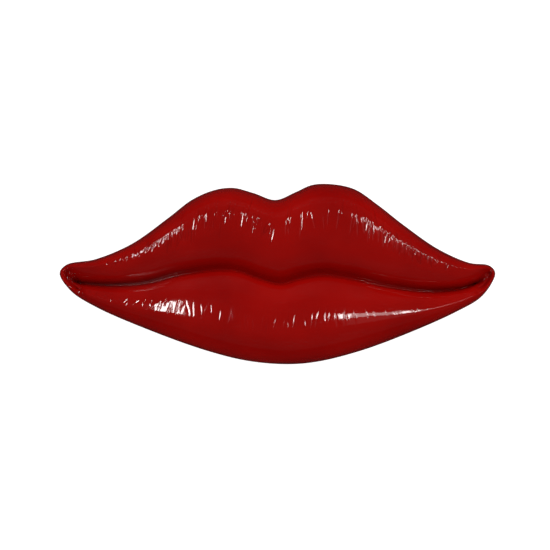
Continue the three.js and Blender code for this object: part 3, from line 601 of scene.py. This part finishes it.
def along_y(part, middle_z):
    """Turns a part that was drawn with its height z along Y: (x, y, z) goes to (x, z, middle_z + y)."""
    vertices, faces = part
    return [(x, z, middle_z + y) for x, y, z in vertices], [face[::-1] for face in faces]


def mesh_of(piece):
    """A new mesh of a piece with its modifiers, or of a text."""
    return bpy.data.meshes.new_from_object(piece.evaluated_get(bpy.context.evaluated_depsgraph_get()))


def evaluated_mesh(piece):
    """Puts the result of a piece's modifiers in place of its mesh."""
    made = mesh_of(piece)
    piece.modifiers.clear()
    old = piece.data
    piece.data = made
    bpy.data.meshes.remove(old)
    made.name = piece.name
    return made


def cut(*parts):
    return "DIFFERENCE", joined("cut", parts)


def carve(piece, steps):
    """Applies boolean steps (operation, mesh) to a piece's mesh, in order."""
    tools = []
    for operation, mesh in steps:
        tool = add_object("tool", mesh)
        modifier = piece.modifiers.new("carve", "BOOLEAN")
        modifier.operation = operation
        modifier.object = tool
        modifier.solver = "MANIFOLD"
        tools.append(tool)
    made = evaluated_mesh(piece)
    for tool in tools:
        mesh = tool.data
        bpy.data.objects.remove(tool)
        bpy.data.meshes.remove(mesh)
    made.polygons.foreach_set("use_smooth", [True] * len(made.polygons))
    made.set_sharp_from_angle(angle=math.radians(CREASE_DEGREES))
    flats = piece.modifiers.new("flats", "WEIGHTED_NORMAL")  # shading that keeps broad flat faces flat
    flats.keep_sharp = True
    evaluated_mesh(piece)
    return piece


def solid_piece(name, part):
    return add_object(name, joined(name, [part]))


def grown(ends, by):
    return ends[0] - by, ends[1] + by


def raised(levels, base):
    """(height, inset) levels whose heights were counted from a base."""
    return [(base + z, inset) for z, inset in levels]


def span(node):
    """A CAD node's ranges along X, Y and Z, in millimetres."""
    low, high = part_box(node)
    return tuple((low[axis] / MM, high[axis] / MM) for axis in range(3))


def centre(node):
    (x0, x1), (y0, y1), _ = span(node)
    return (x0 + x1) / 2, (y0 + y1) / 2


def numbered(prefix, count):
    return [f"{prefix}_{i + 1}" for i in range(count)]


def centres(prefix, count):
    return [centre(node) for node in numbered(prefix, count)]


def place(piece, slot, body, *nodes, material=None):
    """Gives a finished piece a material, puts it in its body and hides the CAD nodes that it stands for. The
    material is the slot's own unless another is given."""
    piece.data.materials.clear()
    piece.data.materials.append(material or SLOT_MATERIALS[slot])
    if nodes:
        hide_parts(*nodes)
    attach(piece, body)


# ---- the tray of the case

TRAY_STATIONS = 320
TABLE_GAP = 4  # height of the base's underside
BASE_INSIDE = 7  # height of its upper side
# Height and how far inside the outline, down the tray's outer wall, with a small reveal at the seam.
TRAY_OUTSIDE = [
    (PARTING, 0.5), (PARTING - 0.25, 0.14), (PARTING - 0.7, 0.02), (20, 0.2), (18, 0.55), (16, 1.1),
    (14, 1.8), (12, 2.6), (10, 3.5), (8, 4.5), (6.6, 5.4), (5.5, 6.3), (4.7, 7.3), (4.2, 8.3),
    (TABLE_GAP, 9.3),
]
TRAY_INSIDE = [(PARTING + 2, 2.5), (PARTING, 2.5), (12, 5.1), (BASE_INSIDE, 9.6)]
TONGUE = [(4.4, 24), (3, 24), (3, 19), (4.4, 19), (4.4, 24)]  # (inset, height)
EAR_HOLES = [(0, 1), (4.1, 6), (8.1, 12)]  # (radius of the circle, how many)
MIC_HOLES = [(0, 1), (2.9, 6)]
SKIN = 0.3  # clearance around a part in its opening
# Posts that stand on the base, and the bores and rooms in them: radius, lowest, highest, sides of the circle.
CASE_BOSS = (4, 5, PARTING - 0.3, 48)
CASE_BORE = (1.75, 9, PARTING + 1, 24)
LOW_BOSS = (2.2, 6, 10.4, 24)
LOW_BORE = (1.2, 8, 11, 16)
TALL_BOSS = (2.2, 6, 19.2, 24)
TALL_BORE = (1.2, 12, 20, 16)
EAR_CUP = (14.6, 6.5, 11, 64)
EAR_ROOM = (13.4, BASE_INSIDE, 12, 64)
MIC_CUP = (7.9, 6.5, 11, 48)
MIC_ROOM = (6.7, BASE_INSIDE, 12, 48)
HOOK_CUP = (8.6, 6.5, 12, 48)
HOOK_ROOM = (7.5, BASE_INSIDE, 13, 48)
# Round openings in the base, as (radius, height), wider at the underside.
SCREW_WELL = [(3.9, TABLE_GAP - 1), (3.9, TABLE_GAP), (3.4, TABLE_GAP + 0.5), (3.4, 10)]
FOOT_SEAT = [(5.1, 3), (5.1, 4), (4.8, 4.3), (4.8, 5)]
EAR_SOUND = [(1.35, 3), (1.35, 4), (0.95, 4.5), (0.95, 8)]
MIC_SOUND = [(radius - 0.2, z) for radius, z in EAR_SOUND]
PLUNGER_HOLE = [(6.4, 3), (6.4, 4), (5.8, 4.6), (5.8, 8)]
SOUND_SIDES = 20
KEYHOLE = [(3, -0.4), (TABLE_GAP, -0.4), (TABLE_GAP + 0.4, 0)]  # around the bezel, as (height, inset)
KEYHOLE_CORNER = 4.3
MAT_CLEARANCE = 0.4
MAT_CORNER = 1
# The flat pads in the rear wall, and the room outside them.
ROOM_DEEP = 20
ROOM_CORNER = 1.6
PAD_CORNER = 0.5
PAD_SIDE = 1  # how far a pad goes beyond its room, sideways and up
PAD_TOP = 0.8
JACK_PAD_HALF = 9
JACK_PAD_HEIGHTS = (5.6, 20.4)
JACK_WALL = 2.4
SWITCH_PAD_HALF = 8
SWITCH_MARGIN = 1.5
SWITCH_WALL = 2.2
SLIT_END = 2  # from the end of a switch's body to the slit that its knob runs in
SLIT_CORNER = 0.5
SLIT = [(-1, 0), (1.9, 0), (2.5, -0.5)]  # (depth from the body's face, inset)


def tray_block(name, levels):
    rays = Rays(TRAY_STATIONS)
    paths = []
    for side in (0, 1):
        wall = np.stack([with_height(rays.inset(side, inset), z) for z, inset in levels], axis=1)
        first, last = (with_height(rays.root, z)[:, None, :] for z in (levels[0][0], levels[-1][0]))
        paths.append(np.concatenate([first, wall, last], axis=1))
    return swept_mesh(name, paths)[0]


def tongue_ring():
    rays = Rays(TRAY_STATIONS)
    paths = [
        np.stack([with_height(rays.inset(side, inset), z) for inset, z in TONGUE], axis=1) for side in (0, 1)
    ]
    return swept_mesh("tongue", paths, on_mouth_line=False)[0]


def on_circles(at, circles):
    return [point for radius, count in circles for point in circle(at, radius, count)]


def wall_pad(node, half_width, z_range, deep, face):
    """The flat pad in the rear wall around a jack or switch: (room outside it, the pad itself)."""
    x, _ = centre(node)
    middle = sum(z_range) / 2
    half_high = (z_range[1] - z_range[0]) / 2
    levels = [(face, 0), (face + ROOM_DEEP, 0)]
    room = rounded_solid((x - half_width, x + half_width), (-half_high, half_high), ROOM_CORNER, levels)
    pad = rounded_solid(
        (x - half_width - PAD_SIDE, x + half_width + PAD_SIDE), (-half_high - PAD_TOP, half_high + PAD_TOP),
        PAD_CORNER, [(face - deep, 0), (face, 0)])
    return along_y(room, middle), along_y(pad, middle)


def rear_wall():
    """The pads of the jack and the switches, with their rooms, and the slots that these three sit in."""
    x, (y0, face), z = span("line_jack")
    pads = [wall_pad("line_jack", JACK_PAD_HALF, JACK_PAD_HEIGHTS, JACK_WALL, face)]
    slots = [box(grown(x, SKIN), (y0, face + 1), grown(z, SKIN))]
    for name in ("ringer_switch", "tone_pulse_switch"):
        x, (y0, y1), z = span(name + "_body")
        heights = grown(z, SWITCH_MARGIN)
        pads.append(wall_pad(name + "_body", SWITCH_PAD_HALF, heights, SWITCH_WALL, y1 + SWITCH_WALL))
        slots.append(box(grown(x, SKIN), (y0 - SKIN, y1), grown(z, SKIN)))
        knob_low, knob_high = span(name + "_knob")[2]
        half = (knob_high - knob_low) / 2 + SKIN
        slit = rounded_solid(grown(x, -SLIT_END), (-half, half), SLIT_CORNER, raised(SLIT, y1))
        slots.append(along_y(slit, sum(z) / 2))
    return pads, slots


def make_tray():
    case_screws = centres("case_screw", 4)
    small_screws = centres("keypad_board_screw", 4) + centres("retainer_screw", 2)
    board_screws = centres("main_board_screw", 3)
    ear, mic, hook = (centre(node) for node in ("earpiece_speaker", "microphone_capsule", "hook_plunger"))
    bezel_x, bezel_y, bezel_z = span("keypad_bezel")
    mat_x, mat_y, _ = span("keypad_membrane")
    pads, slots = rear_wall()
    bosses = posts(case_screws, *CASE_BOSS) + posts(small_screws, *LOW_BOSS) + posts(board_screws, *TALL_BOSS)
    bosses += posts([ear], *EAR_CUP) + posts([mic], *MIC_CUP) + posts([hook], *HOOK_CUP)
    openings = posts([ear], *EAR_ROOM) + posts([mic], *MIC_ROOM) + posts([hook], *HOOK_ROOM)
    openings += [turned(SCREW_WELL, at) for at in case_screws]
    openings += [turned(FOOT_SEAT, at) for at in centres("rubber_foot", 4)]
    openings += [turned(EAR_SOUND, at, SOUND_SIDES) for at in on_circles(ear, EAR_HOLES)]
    openings += [turned(MIC_SOUND, at, SOUND_SIDES) for at in on_circles(mic, MIC_HOLES)]
    keyhole = KEYHOLE + [(bezel_z[1], 0)]
    openings.append(rounded_solid(grown(bezel_x, SKIN), grown(bezel_y, SKIN), KEYHOLE_CORNER, keyhole))
    bores = posts(case_screws, *CASE_BORE) + posts(small_screws, *LOW_BORE) + posts(board_screws, *TALL_BORE)
    mat_levels = [(TABLE_GAP, 0), (BASE_INSIDE + 1, 0)]
    bores.append(rounded_solid(grown(mat_x, MAT_CLEARANCE), mat_y, MAT_CORNER, mat_levels))
    bores.append(turned(PLUNGER_HOLE, hook))
    tray = add_object("case_tray", tray_block("case_tray", TRAY_OUTSIDE))
    rooms = [room for room, _ in pads]
    steps = [cut(*rooms), ("DIFFERENCE", tray_block("hollow", TRAY_INSIDE)), ("UNION", tongue_ring())]
    steps += [("UNION", joined("added", [part])) for part in [pad for _, pad in pads] + bosses]
    steps += [cut(*rooms), cut(*openings), cut(*bores)]
    steps += [cut(slot) for slot in slots]
    return carve(tray, steps)


# ---- keypad, feet, plunger, screws, switches, jack

KEY_FLANGE = 0.8
KEY_CORNER = 2
FLANGE_LOW = 5.9
KEY_CLEARANCE = 0.3
KEY_SIGNS = [*"123456789", "star", "0", "hash"]
PRINTED = {"star": "*", "hash": "#"}
DISH_DEPTH = 0.34
# The face of a key as (inset, height above its lowest edge): a shallow dish inside a rounded rim.
KEY_FACE = [
    (2.6, DISH_DEPTH), (2.0, DISH_DEPTH), (1.5, 0.3), (1.1, 0.18), (0.8, 0.04), (0.6, 0), (0.42, 0.02),
    (0.24, 0.1), (0.1, 0.25), (0.02, 0.45), (0, 0.7),
]
NUMERAL_SIZE = 6.2
NUMERAL_THICK = 0.06
# Half sizes of the marks on the function keys, and their (height, inset) levels from the key's lowest edge.
FUNCTION_MARKS = {"redial_key": (0.5, 2.4), "flash_key": (0.9, 0.9)}
MARK_LEVELS = [(-0.02, 0.35), (0.03, 0.15), (0.12, 0), (0.6, 0)]
BEZEL_CORNER = 4
BEZEL_EDGE = [(0.02, 0.5), (0, 0.3), (0.1, 0.1), (0.35, 0)]
HOLE_EDGE = [(-1, -0.4), (0, -0.4), (0.12, -0.14), (0.4, 0)]


def key_names():
    return ["key_" + sign for sign in KEY_SIGNS] + list(FUNCTION_MARKS)


def face_of(key):
    (x0, x1), (y0, y1), (z0, z1) = span(key)
    return (x0 + KEY_FLANGE, x1 - KEY_FLANGE), (y0 + KEY_FLANGE, y1 - KEY_FLANGE), (z0, z1)


def make_key(key):
    x, y, (low, high) = face_of(key)
    levels = [(low + z, inset) for inset, z in KEY_FACE]
    levels += [(FLANGE_LOW, 0), (FLANGE_LOW, -KEY_FLANGE), (high, -KEY_FLANGE)]
    piece = solid_piece(key + "_cap", rounded_solid(x, y, KEY_CORNER, levels))
    piece.data.set_sharp_from_angle(angle=math.radians(50))
    return piece


def make_numeral(key):
    """A printed numeral, a hair proud of the key's face, read with -X up and -Y to the right."""
    x, y, (low, _) = face_of(key)
    sign = key.removeprefix("key_")
    curve = bpy.data.curves.new("numeral", "FONT")
    curve.body = PRINTED.get(sign, sign)
    curve.size = NUMERAL_SIZE * MM
    curve.align_x = "CENTER"
    curve.align_y = "CENTER"
    curve.extrude = NUMERAL_THICK * MM
    curve.resolution_u = 3
    text = add_object("numeral", curve)
    mesh = mesh_of(text)
    bpy.data.objects.remove(text)
    bpy.data.curves.remove(curve)
    points = np.array([v.co for v in mesh.vertices])
    middle = (points.max(0) + points.min(0)) / 2
    at = (sum(x) / 2 * MM, sum(y) / 2 * MM, (low + DISH_DEPTH) * MM)
    for vertex in mesh.vertices:
        right, up, out = Vector(vertex.co) - Vector(middle)
        vertex.co = (at[0] - up, at[1] - right, at[2] - out)
    mesh.name = key + "_numeral"
    return add_object(key + "_numeral", mesh)


def make_function_mark(key):
    """A raised bar on the redial key and a raised dot on the flash key, to tell them apart by touch."""
    x, y, (low, _) = face_of(key)
    middle = (sum(x) / 2, sum(y) / 2)
    half = FUNCTION_MARKS[key]
    ranges = [(m - h, m + h) for m, h in zip(middle, half)]
    return solid_piece(key + "_mark", rounded_solid(*ranges, min(half), raised(MARK_LEVELS, low)))


def make_bezel():
    x, y, (low, high) = span("keypad_bezel")
    levels = raised(BEZEL_EDGE, low) + [(high, 0)]
    bezel = solid_piece("keypad_frame", rounded_solid(x, y, BEZEL_CORNER, levels))
    hole_levels = raised(HOLE_EDGE, low) + [(high + 1, 0)]
    holes = []
    for key in key_names():
        kx, ky, _ = face_of(key)
        sides = grown(kx, KEY_CLEARANCE), grown(ky, KEY_CLEARANCE)
        holes.append(rounded_solid(*sides, KEY_CORNER, hole_levels))
    return carve(bezel, [cut(*holes)])


# Turned shapes as (radius, height).
FOOT_PROFILE = [
    (0, 0.5), (1.6, 0.48), (2.3, 0.3), (2.7, 0.05), (3.1, 0), (3.7, 0.03), (4.1, 0.25), (4.35, 0.6),
    (4.5, 1.2), (4.5, 5), (0, 5),
]
PLUNGER_PROFILE = [
    (0, 0.55), (2.6, 0.5), (3.6, 0.3), (4.0, 0.2), (4.6, 0.22), (5.0, 0.42), (5.22, 0.8), (5.3, 1.3),
    (5.3, 11.3), (7, 11.3), (7, 12.8), (2, 12.8), (2, 14.2), (0, 14.2),
]
PLUNGER_SIDES = 72
SCREW_SEAT = 10  # height of the seats of the case screws' heads
SCREW_SHANK = 1.4
SCREW_POINT = 1
# A screw head's cross: half width and half length of an arm, corner, and levels from the head's lowest point.
CROSS_HALF = (0.32, 1.6)
CROSS_CORNER = 0.3
CROSS_LEVELS = [(-1, -0.1), (0.2, 0), (1.4, 0.22)]
# (depth from the outer face, inset) of the knobs and the jack.
KNOB_EDGE = [(-0.35, 0), (-0.15, 0.06), (-0.04, 0.18), (0, 0.36)]
KNOB_CORNER = 0.45
KNOB_GROOVES = 3
GROOVE_HALF = 0.17
GROOVE_DEEP = 0.45
JACK_EDGE = [(-0.3, 0), (0, 0.3)]
JACK_CORNER = 0.6
JACK_BACK = 2.6
JACK_OPENINGS = [(4.9, (10.2, 16.8)), (3.1, (9, 12))]  # half width and heights of the socket and its notch
CONTACTS = 4
CONTACT_PITCH = 1.25
WIRE_RADIUS = 0.22
WIRE_SIDES = 10


def screw_profile(low, tip, head):
    """From the underside of a pan head up to the tip."""
    high = SCREW_SEAT - low
    return [
        (0, low), (head * 0.6, low + 0.02), (head * 0.8, low + high * 0.1), (head * 0.94, low + high * 0.3),
        (head, low + high * 0.6), (head, SCREW_SEAT), (SCREW_SHANK, SCREW_SEAT),
        (SCREW_SHANK, tip - SCREW_POINT), (0, tip),
    ]


def make_case_screw(node):
    (x0, x1), _, (low, tip) = span(node)
    at = centre(node)
    piece = solid_piece(node + "_fine", turned(screw_profile(low, tip, (x1 - x0) / 2), at))
    steps = []
    for half in (CROSS_HALF, CROSS_HALF[::-1]):
        ranges = [(m - h, m + h) for m, h in zip(at, half)]
        steps.append(cut(rounded_solid(*ranges, CROSS_CORNER, raised(CROSS_LEVELS, low), 4)))
    return carve(piece, steps)


def faced_block(name, x_range, y0, z_range, corner, edge):
    """A block with a shaped edge around the face at the end of its run along Y."""
    half = (z_range[1] - z_range[0]) / 2
    block = rounded_solid(x_range, (-half, half), corner, [(y0, 0)] + edge)
    return solid_piece(name, along_y(block, sum(z_range) / 2))


def make_knob(node):
    (x0, x1), (y0, y1), z = span(node)
    knob = faced_block(node + "_fine", (x0, x1), y0, z, KNOB_CORNER, raised(KNOB_EDGE, y1))
    grooves = []
    for i in range(KNOB_GROOVES):
        x = x0 + (x1 - x0) * (i + 1) / (KNOB_GROOVES + 1)
        grooves.append(box((x - GROOVE_HALF, x + GROOVE_HALF), (y1 - GROOVE_DEEP, y1 + 1), grown(z, 1)))
    return carve(knob, [cut(*grooves)])


def make_jack():
    (x0, x1), (y0, y1), z = span("line_jack")
    x = (x0 + x1) / 2
    jack = faced_block("line_jack_body", (x0, x1), y0, z, JACK_CORNER, raised(JACK_EDGE, y1))
    steps = []
    for half, heights in JACK_OPENINGS:
        steps.append(cut(box((x - half, x + half), (y0 + JACK_BACK, y1 + 1), heights)))
    return carve(jack, steps)


def make_contacts():
    """Four sprung wires that slope across the jack's socket, each through five points (y, z)."""
    (x0, x1), (y0, y1), _ = span("line_jack")
    route = [(y1 - 1.6, 16.75), (y1 - 2.4, 16.3), (y0 + 4.5, 13.6), (y0 + 3.2, 12.6), (y0 + 2.5, 12.6)]
    around = [(math.cos(a), math.sin(a)) for a in angles(WIRE_SIDES)]
    parts = []
    for i in range(CONTACTS):
        x = (x0 + x1) / 2 + (i - (CONTACTS - 1) / 2) * CONTACT_PITCH
        rings = []
        for k, (y, z) in enumerate(route):
            (ya, za), (yb, zb) = route[max(k - 1, 0)], route[min(k + 1, len(route) - 1)]
            away = Vector((0, -(zb - za), yb - ya)).normalized()
            dy, dz = away.y * WIRE_RADIUS, away.z * WIRE_RADIUS
            rings.append([(x + WIRE_RADIUS * across, y + dy * up, z + dz * up) for across, up in around])
        parts.append(loft(rings))
    return add_object("line_jack_contacts", joined("line_jack_contacts", parts))


# ---- materials

def new_material(name):
    material = bpy.data.materials.new(name)
    material.use_nodes = True
    return material, material.node_tree, material.node_tree.nodes["Principled BSDF"]


def object_space(tree):
    return tree.nodes.new("ShaderNodeTexCoord").outputs["Object"]


def noise(tree, scale, detail=4, roughness=0.5, stretch=(1, 1, 1)):
    """Noise in the object's own space, in features of 1/scale metres."""
    mapping = tree.nodes.new("ShaderNodeMapping")
    mapping.inputs["Scale"].default_value = stretch
    node = tree.nodes.new("ShaderNodeTexNoise")
    node.inputs["Scale"].default_value = scale
    node.inputs["Detail"].default_value = detail
    node.inputs["Roughness"].default_value = roughness
    tree.links.new(object_space(tree), mapping.inputs["Vector"])
    tree.links.new(mapping.outputs["Vector"], node.inputs["Vector"])
    return node.outputs["Fac"]


def ranged(tree, value, low, high, to_low, to_high):
    node = tree.nodes.new("ShaderNodeMapRange")
    for socket, number in (("From Min", low), ("From Max", high), ("To Min", to_low), ("To Max", to_high)):
        node.inputs[socket].default_value = number
    tree.links.new(value, node.inputs["Value"])
    return node.outputs["Result"]


def blended(tree, factor, a, b):
    """A colour between a and b; each is a colour or another node's output."""
    node = tree.nodes.new("ShaderNodeMix")
    node.data_type = "RGBA"
    for socket, colour in (("A", a), ("B", b)):
        if isinstance(colour, tuple):
            node.inputs[socket].default_value = (*colour, 1)
        else:
            tree.links.new(colour, node.inputs[socket])
    tree.links.new(factor, node.inputs["Factor"])
    return node.outputs["Result"]


def arithmetic(tree, operation, a, b):
    node = tree.nodes.new("ShaderNodeMath")
    node.operation = operation
    for socket, value in zip(node.inputs, (a, b)):
        if isinstance(value, (int, float)):
            socket.default_value = value
        else:
            tree.links.new(value, socket)
    return node.outputs[0]


def mesh_attribute(tree, name):
    node = tree.nodes.new("ShaderNodeAttribute")
    node.attribute_name = name
    return node.outputs["Fac"]


def uneven(tree, scale, detail, low, high):
    """A number that drifts between low and high over the surface."""
    return ranged(tree, noise(tree, scale, detail), 0.3, 0.7, low, high)


def coated(tree, shader, colour, roughness):
    tree.links.new(colour, shader.inputs["Base Color"])
    tree.links.new(roughness, shader.inputs["Roughness"])


def bumped(tree, shader, height, distance):
    node = tree.nodes.new("ShaderNodeBump")
    node.inputs["Distance"].default_value = distance
    tree.links.new(height, node.inputs["Height"])
    tree.links.new(node.outputs["Normal"], shader.inputs["Normal"])


RED = (0.40, 0.0026, 0.0013)
DEEP_RED = (0.30, 0.0015, 0.0010)
# Darker red used as painted shade inside the engraved lip lines.
LINE_SHADE_RED = (0.16, 0.001, 0.001)
BRUSHING = (1, 12, 1)  # how much finer than along X the marks on metal are


def red_gloss():
    material, tree, shader = new_material("red_gloss_plastic")
    patches = noise(tree, 28, 3)
    body = blended(tree, ranged(tree, patches, 0.35, 0.7, 0, 1), RED, DEEP_RED)
    # The lip lines get a darker red: painted shade in the grooves, on top of their real depth.
    painted_line_shade = ranged(tree, mesh_attribute(tree, "lip_line"), 0.05, 0.3, 0, 0.55)
    colour = blended(tree, painted_line_shade, body, LINE_SHADE_RED)
    smears = ranged(tree, noise(tree, 60, 5, 0.6, (1, 2.5, 1)), 0.45, 0.75, 0.055, 0.11)
    scratches = ranged(tree, noise(tree, 900, 2, 0.5, (0.12, 1, 1)), 0.66, 0.74, 0, 0.07)
    polish = arithmetic(tree, "ADD", smears, scratches)
    # A polishing wheel doesn't reach into the groove.
    dull = arithmetic(tree, "MULTIPLY", mesh_attribute(tree, "groove"), 0.3)
    coated(tree, shader, colour, arithmetic(tree, "ADD", polish, dull))
    shader.inputs["Specular IOR Level"].default_value = 0.5
    peel = noise(tree, 420, 2)
    waves = noise(tree, 90, 2)
    height = arithmetic(tree, "ADD", peel, arithmetic(tree, "MULTIPLY", waves, 2.0))
    bumped(tree, shader, height, 0.00002)
    return material


def plastic(name, base, worn, roughness, grain=0.0):
    """Moulded plastic with faint mottling, handling marks and an optional sparked grain."""
    material, tree, shader = new_material(name)
    colour = blended(tree, ranged(tree, noise(tree, 70, 4), 0.35, 0.68, 0, 1), base, worn)
    marks = ranged(tree, noise(tree, 500, 3, 0.6, (0.2, 1, 1)), 0.6, 0.72, 0, 0.1)
    cloud = uneven(tree, 90, 4, roughness * 0.85, roughness * 1.25)
    coated(tree, shader, colour, arithmetic(tree, "ADD", cloud, marks))
    shader.inputs["Specular IOR Level"].default_value = 0.5
    bumped(tree, shader, noise(tree, 900, 2), 0.00001 + grain)
    return material


def rubber(name, base, worn):
    material, tree, shader = new_material(name)
    dusty = ranged(tree, noise(tree, 220, 6, 0.7), 0.45, 0.75, 0, 1)
    coated(tree, shader, blended(tree, dusty, base, worn), uneven(tree, 160, 4, 0.72, 0.92))
    shader.inputs["Specular IOR Level"].default_value = 0.35
    bumped(tree, shader, noise(tree, 1800, 3, 0.7), 0.00004)
    return material


def metal(name, base, tarnish, roughness):
    """Plated or drawn metal with fine brushing and tarnished patches."""
    material, tree, shader = new_material(name)
    shader.inputs["Metallic"].default_value = 1
    patches = ranged(tree, noise(tree, 140, 5, 0.6), 0.48, 0.72, 0, 1)
    colour = blended(tree, patches, base, tarnish)
    brushing = noise(tree, 700, 3, 0.6, BRUSHING)
    coated(tree, shader, colour, ranged(tree, brushing, 0.3, 0.7, roughness * 0.7, roughness * 1.4))
    bumped(tree, shader, brushing, 0.000012)
    return material


def circuit_board():
    """Green lacquer over copper tracks that run in square steps."""
    material, tree, shader = new_material("green_circuit_board")
    tracks = tree.nodes.new("ShaderNodeTexBrick")
    tree.links.new(object_space(tree), tracks.inputs["Vector"])
    for socket, value in (("Scale", 220), ("Mortar Size", 0.09), ("Brick Width", 1.3), ("Row Height", 0.42)):
        tracks.inputs[socket].default_value = value
    glass = ranged(tree, noise(tree, 1500, 2, 0.5, (1, 0.2, 1)), 0.35, 0.65, 0, 1)
    lacquer = blended(tree, glass, (0.022, 0.11, 0.03), (0.03, 0.14, 0.04))
    colour = blended(tree, tracks.outputs["Fac"], lacquer, (0.07, 0.24, 0.08))
    coated(tree, shader, colour, uneven(tree, 300, 3, 0.28, 0.45))
    bumped(tree, shader, tracks.outputs["Fac"], 0.00003)
    return material


def wound_tape():
    material, tree, shader = new_material("yellow_winding_tape")
    turns = tree.nodes.new("ShaderNodeTexWave")
    turns.bands_direction = "Z"
    tree.links.new(object_space(tree), turns.inputs["Vector"])
    turns.inputs["Scale"].default_value = 160
    turns.inputs["Distortion"].default_value = 0.6
    colour = blended(tree, turns.outputs["Fac"], (0.5, 0.33, 0.03), (0.66, 0.47, 0.07))
    coated(tree, shader, colour, uneven(tree, 400, 3, 0.3, 0.5))
    bumped(tree, shader, turns.outputs["Fac"], 0.00005)
    return material


def foam():
    material, tree, shader = new_material("grey_foam_ring")
    cells = tree.nodes.new("ShaderNodeTexVoronoi")
    tree.links.new(object_space(tree), cells.inputs["Vector"])
    cells.inputs["Scale"].default_value = 1600
    depth = ranged(tree, cells.outputs["Distance"], 0.1, 0.7, 0, 1)
    # Darker down in the cells: painted shade in the foam's pores.
    colour = blended(tree, depth, (0.02, 0.02, 0.02), (0.07, 0.07, 0.068))
    coated(tree, shader, colour, uneven(tree, 300, 3, 0.88, 1.0))
    bumped(tree, shader, depth, 0.0002)
    return material


def printed_ink():
    material, tree, shader = new_material("black_printed_ink")
    worn = ranged(tree, noise(tree, 1400, 5, 0.7), 0.56, 0.7, 0, 1)
    colour = blended(tree, worn, (0.008, 0.008, 0.009), (0.05, 0.048, 0.042))
    coated(tree, shader, colour, uneven(tree, 600, 3, 0.4, 0.6))
    return material


SLOT_MATERIALS = {
    "red_case": red_gloss(),
    "black_trim": plastic(
        "black_satin_trim", (0.009, 0.009, 0.010), (0.016, 0.016, 0.017), 0.38, grain=0.00001),
    "ivory_keys": plastic("ivory_key_plastic", (0.76, 0.71, 0.60), (0.70, 0.64, 0.52), 0.3),
    "black_rubber": rubber("black_foot_rubber", (0.010, 0.010, 0.010), (0.035, 0.034, 0.033)),
    "grey_silicone": rubber("grey_silicone_mat", (0.23, 0.23, 0.22), (0.30, 0.30, 0.29)),
    "circuit_board": circuit_board(),
    "yellow_tape": wound_tape(),
    "black_parts": plastic("black_component", (0.014, 0.014, 0.015), (0.03, 0.03, 0.031), 0.5, grain=0.00002),
    "jack_plastic": plastic("smoked_jack_plastic", (0.035, 0.035, 0.037), (0.055, 0.055, 0.056), 0.22),
    "steel_parts": metal("plated_steel", (0.56, 0.57, 0.59), (0.36, 0.35, 0.33), 0.3),
    "grey_foam": foam(),
}


def dress_cad_nodes():
    """A finish for every CAD node that shows its own mesh."""
    for row in frame["record"]["subparts"]:
        mesh = frame["nodes"][row["node"]].data
        mesh.materials.clear()
        mesh.materials.append(SLOT_MATERIALS[row["material_slot"]])


# ---- the telephone

def build():
    dress_cad_nodes()
    place(make_upper_shell(), "red_case", "case", "upper_shell")
    place(make_tray(), "red_case", "case", "lower_shell")
    place(make_bezel(), "black_trim", "case", "keypad_bezel")
    ink = printed_ink()
    for key in key_names():
        place(make_key(key), "ivory_keys", key, key)
        if key in FUNCTION_MARKS:
            place(make_function_mark(key), "black_trim", key, material=ink)
        else:
            place(make_numeral(key), "black_trim", key, material=ink)
    for node in numbered("rubber_foot", 4):
        foot = solid_piece(node + "_fine", turned(FOOT_PROFILE, centre(node)))
        foot.data.set_sharp_from_angle(angle=math.radians(60))
        place(foot, "black_rubber", "case", node)
    plunger = solid_piece("plunger_fine", turned(PLUNGER_PROFILE, centre("hook_plunger"), PLUNGER_SIDES))
    plunger.data.set_sharp_from_angle(angle=math.radians(40))
    place(plunger, "ivory_keys", "hook_plunger", "hook_plunger")
    for node in numbered("case_screw", 4):
        place(make_case_screw(node), "steel_parts", "case", node)
    for name in ("ringer_switch", "tone_pulse_switch"):
        node = name + "_knob"
        place(make_knob(node), "black_trim", node, node)
    place(make_jack(), "jack_plastic", "case", "line_jack")
    brass = metal("gold_flashed_contacts", (0.86, 0.62, 0.26), (0.6, 0.42, 0.18), 0.2)
    place(make_contacts(), "steel_parts", "case", material=brass)


build()
size = {"cad": [list(c) for c in cad_box], "visual": [list(c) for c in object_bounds()]}
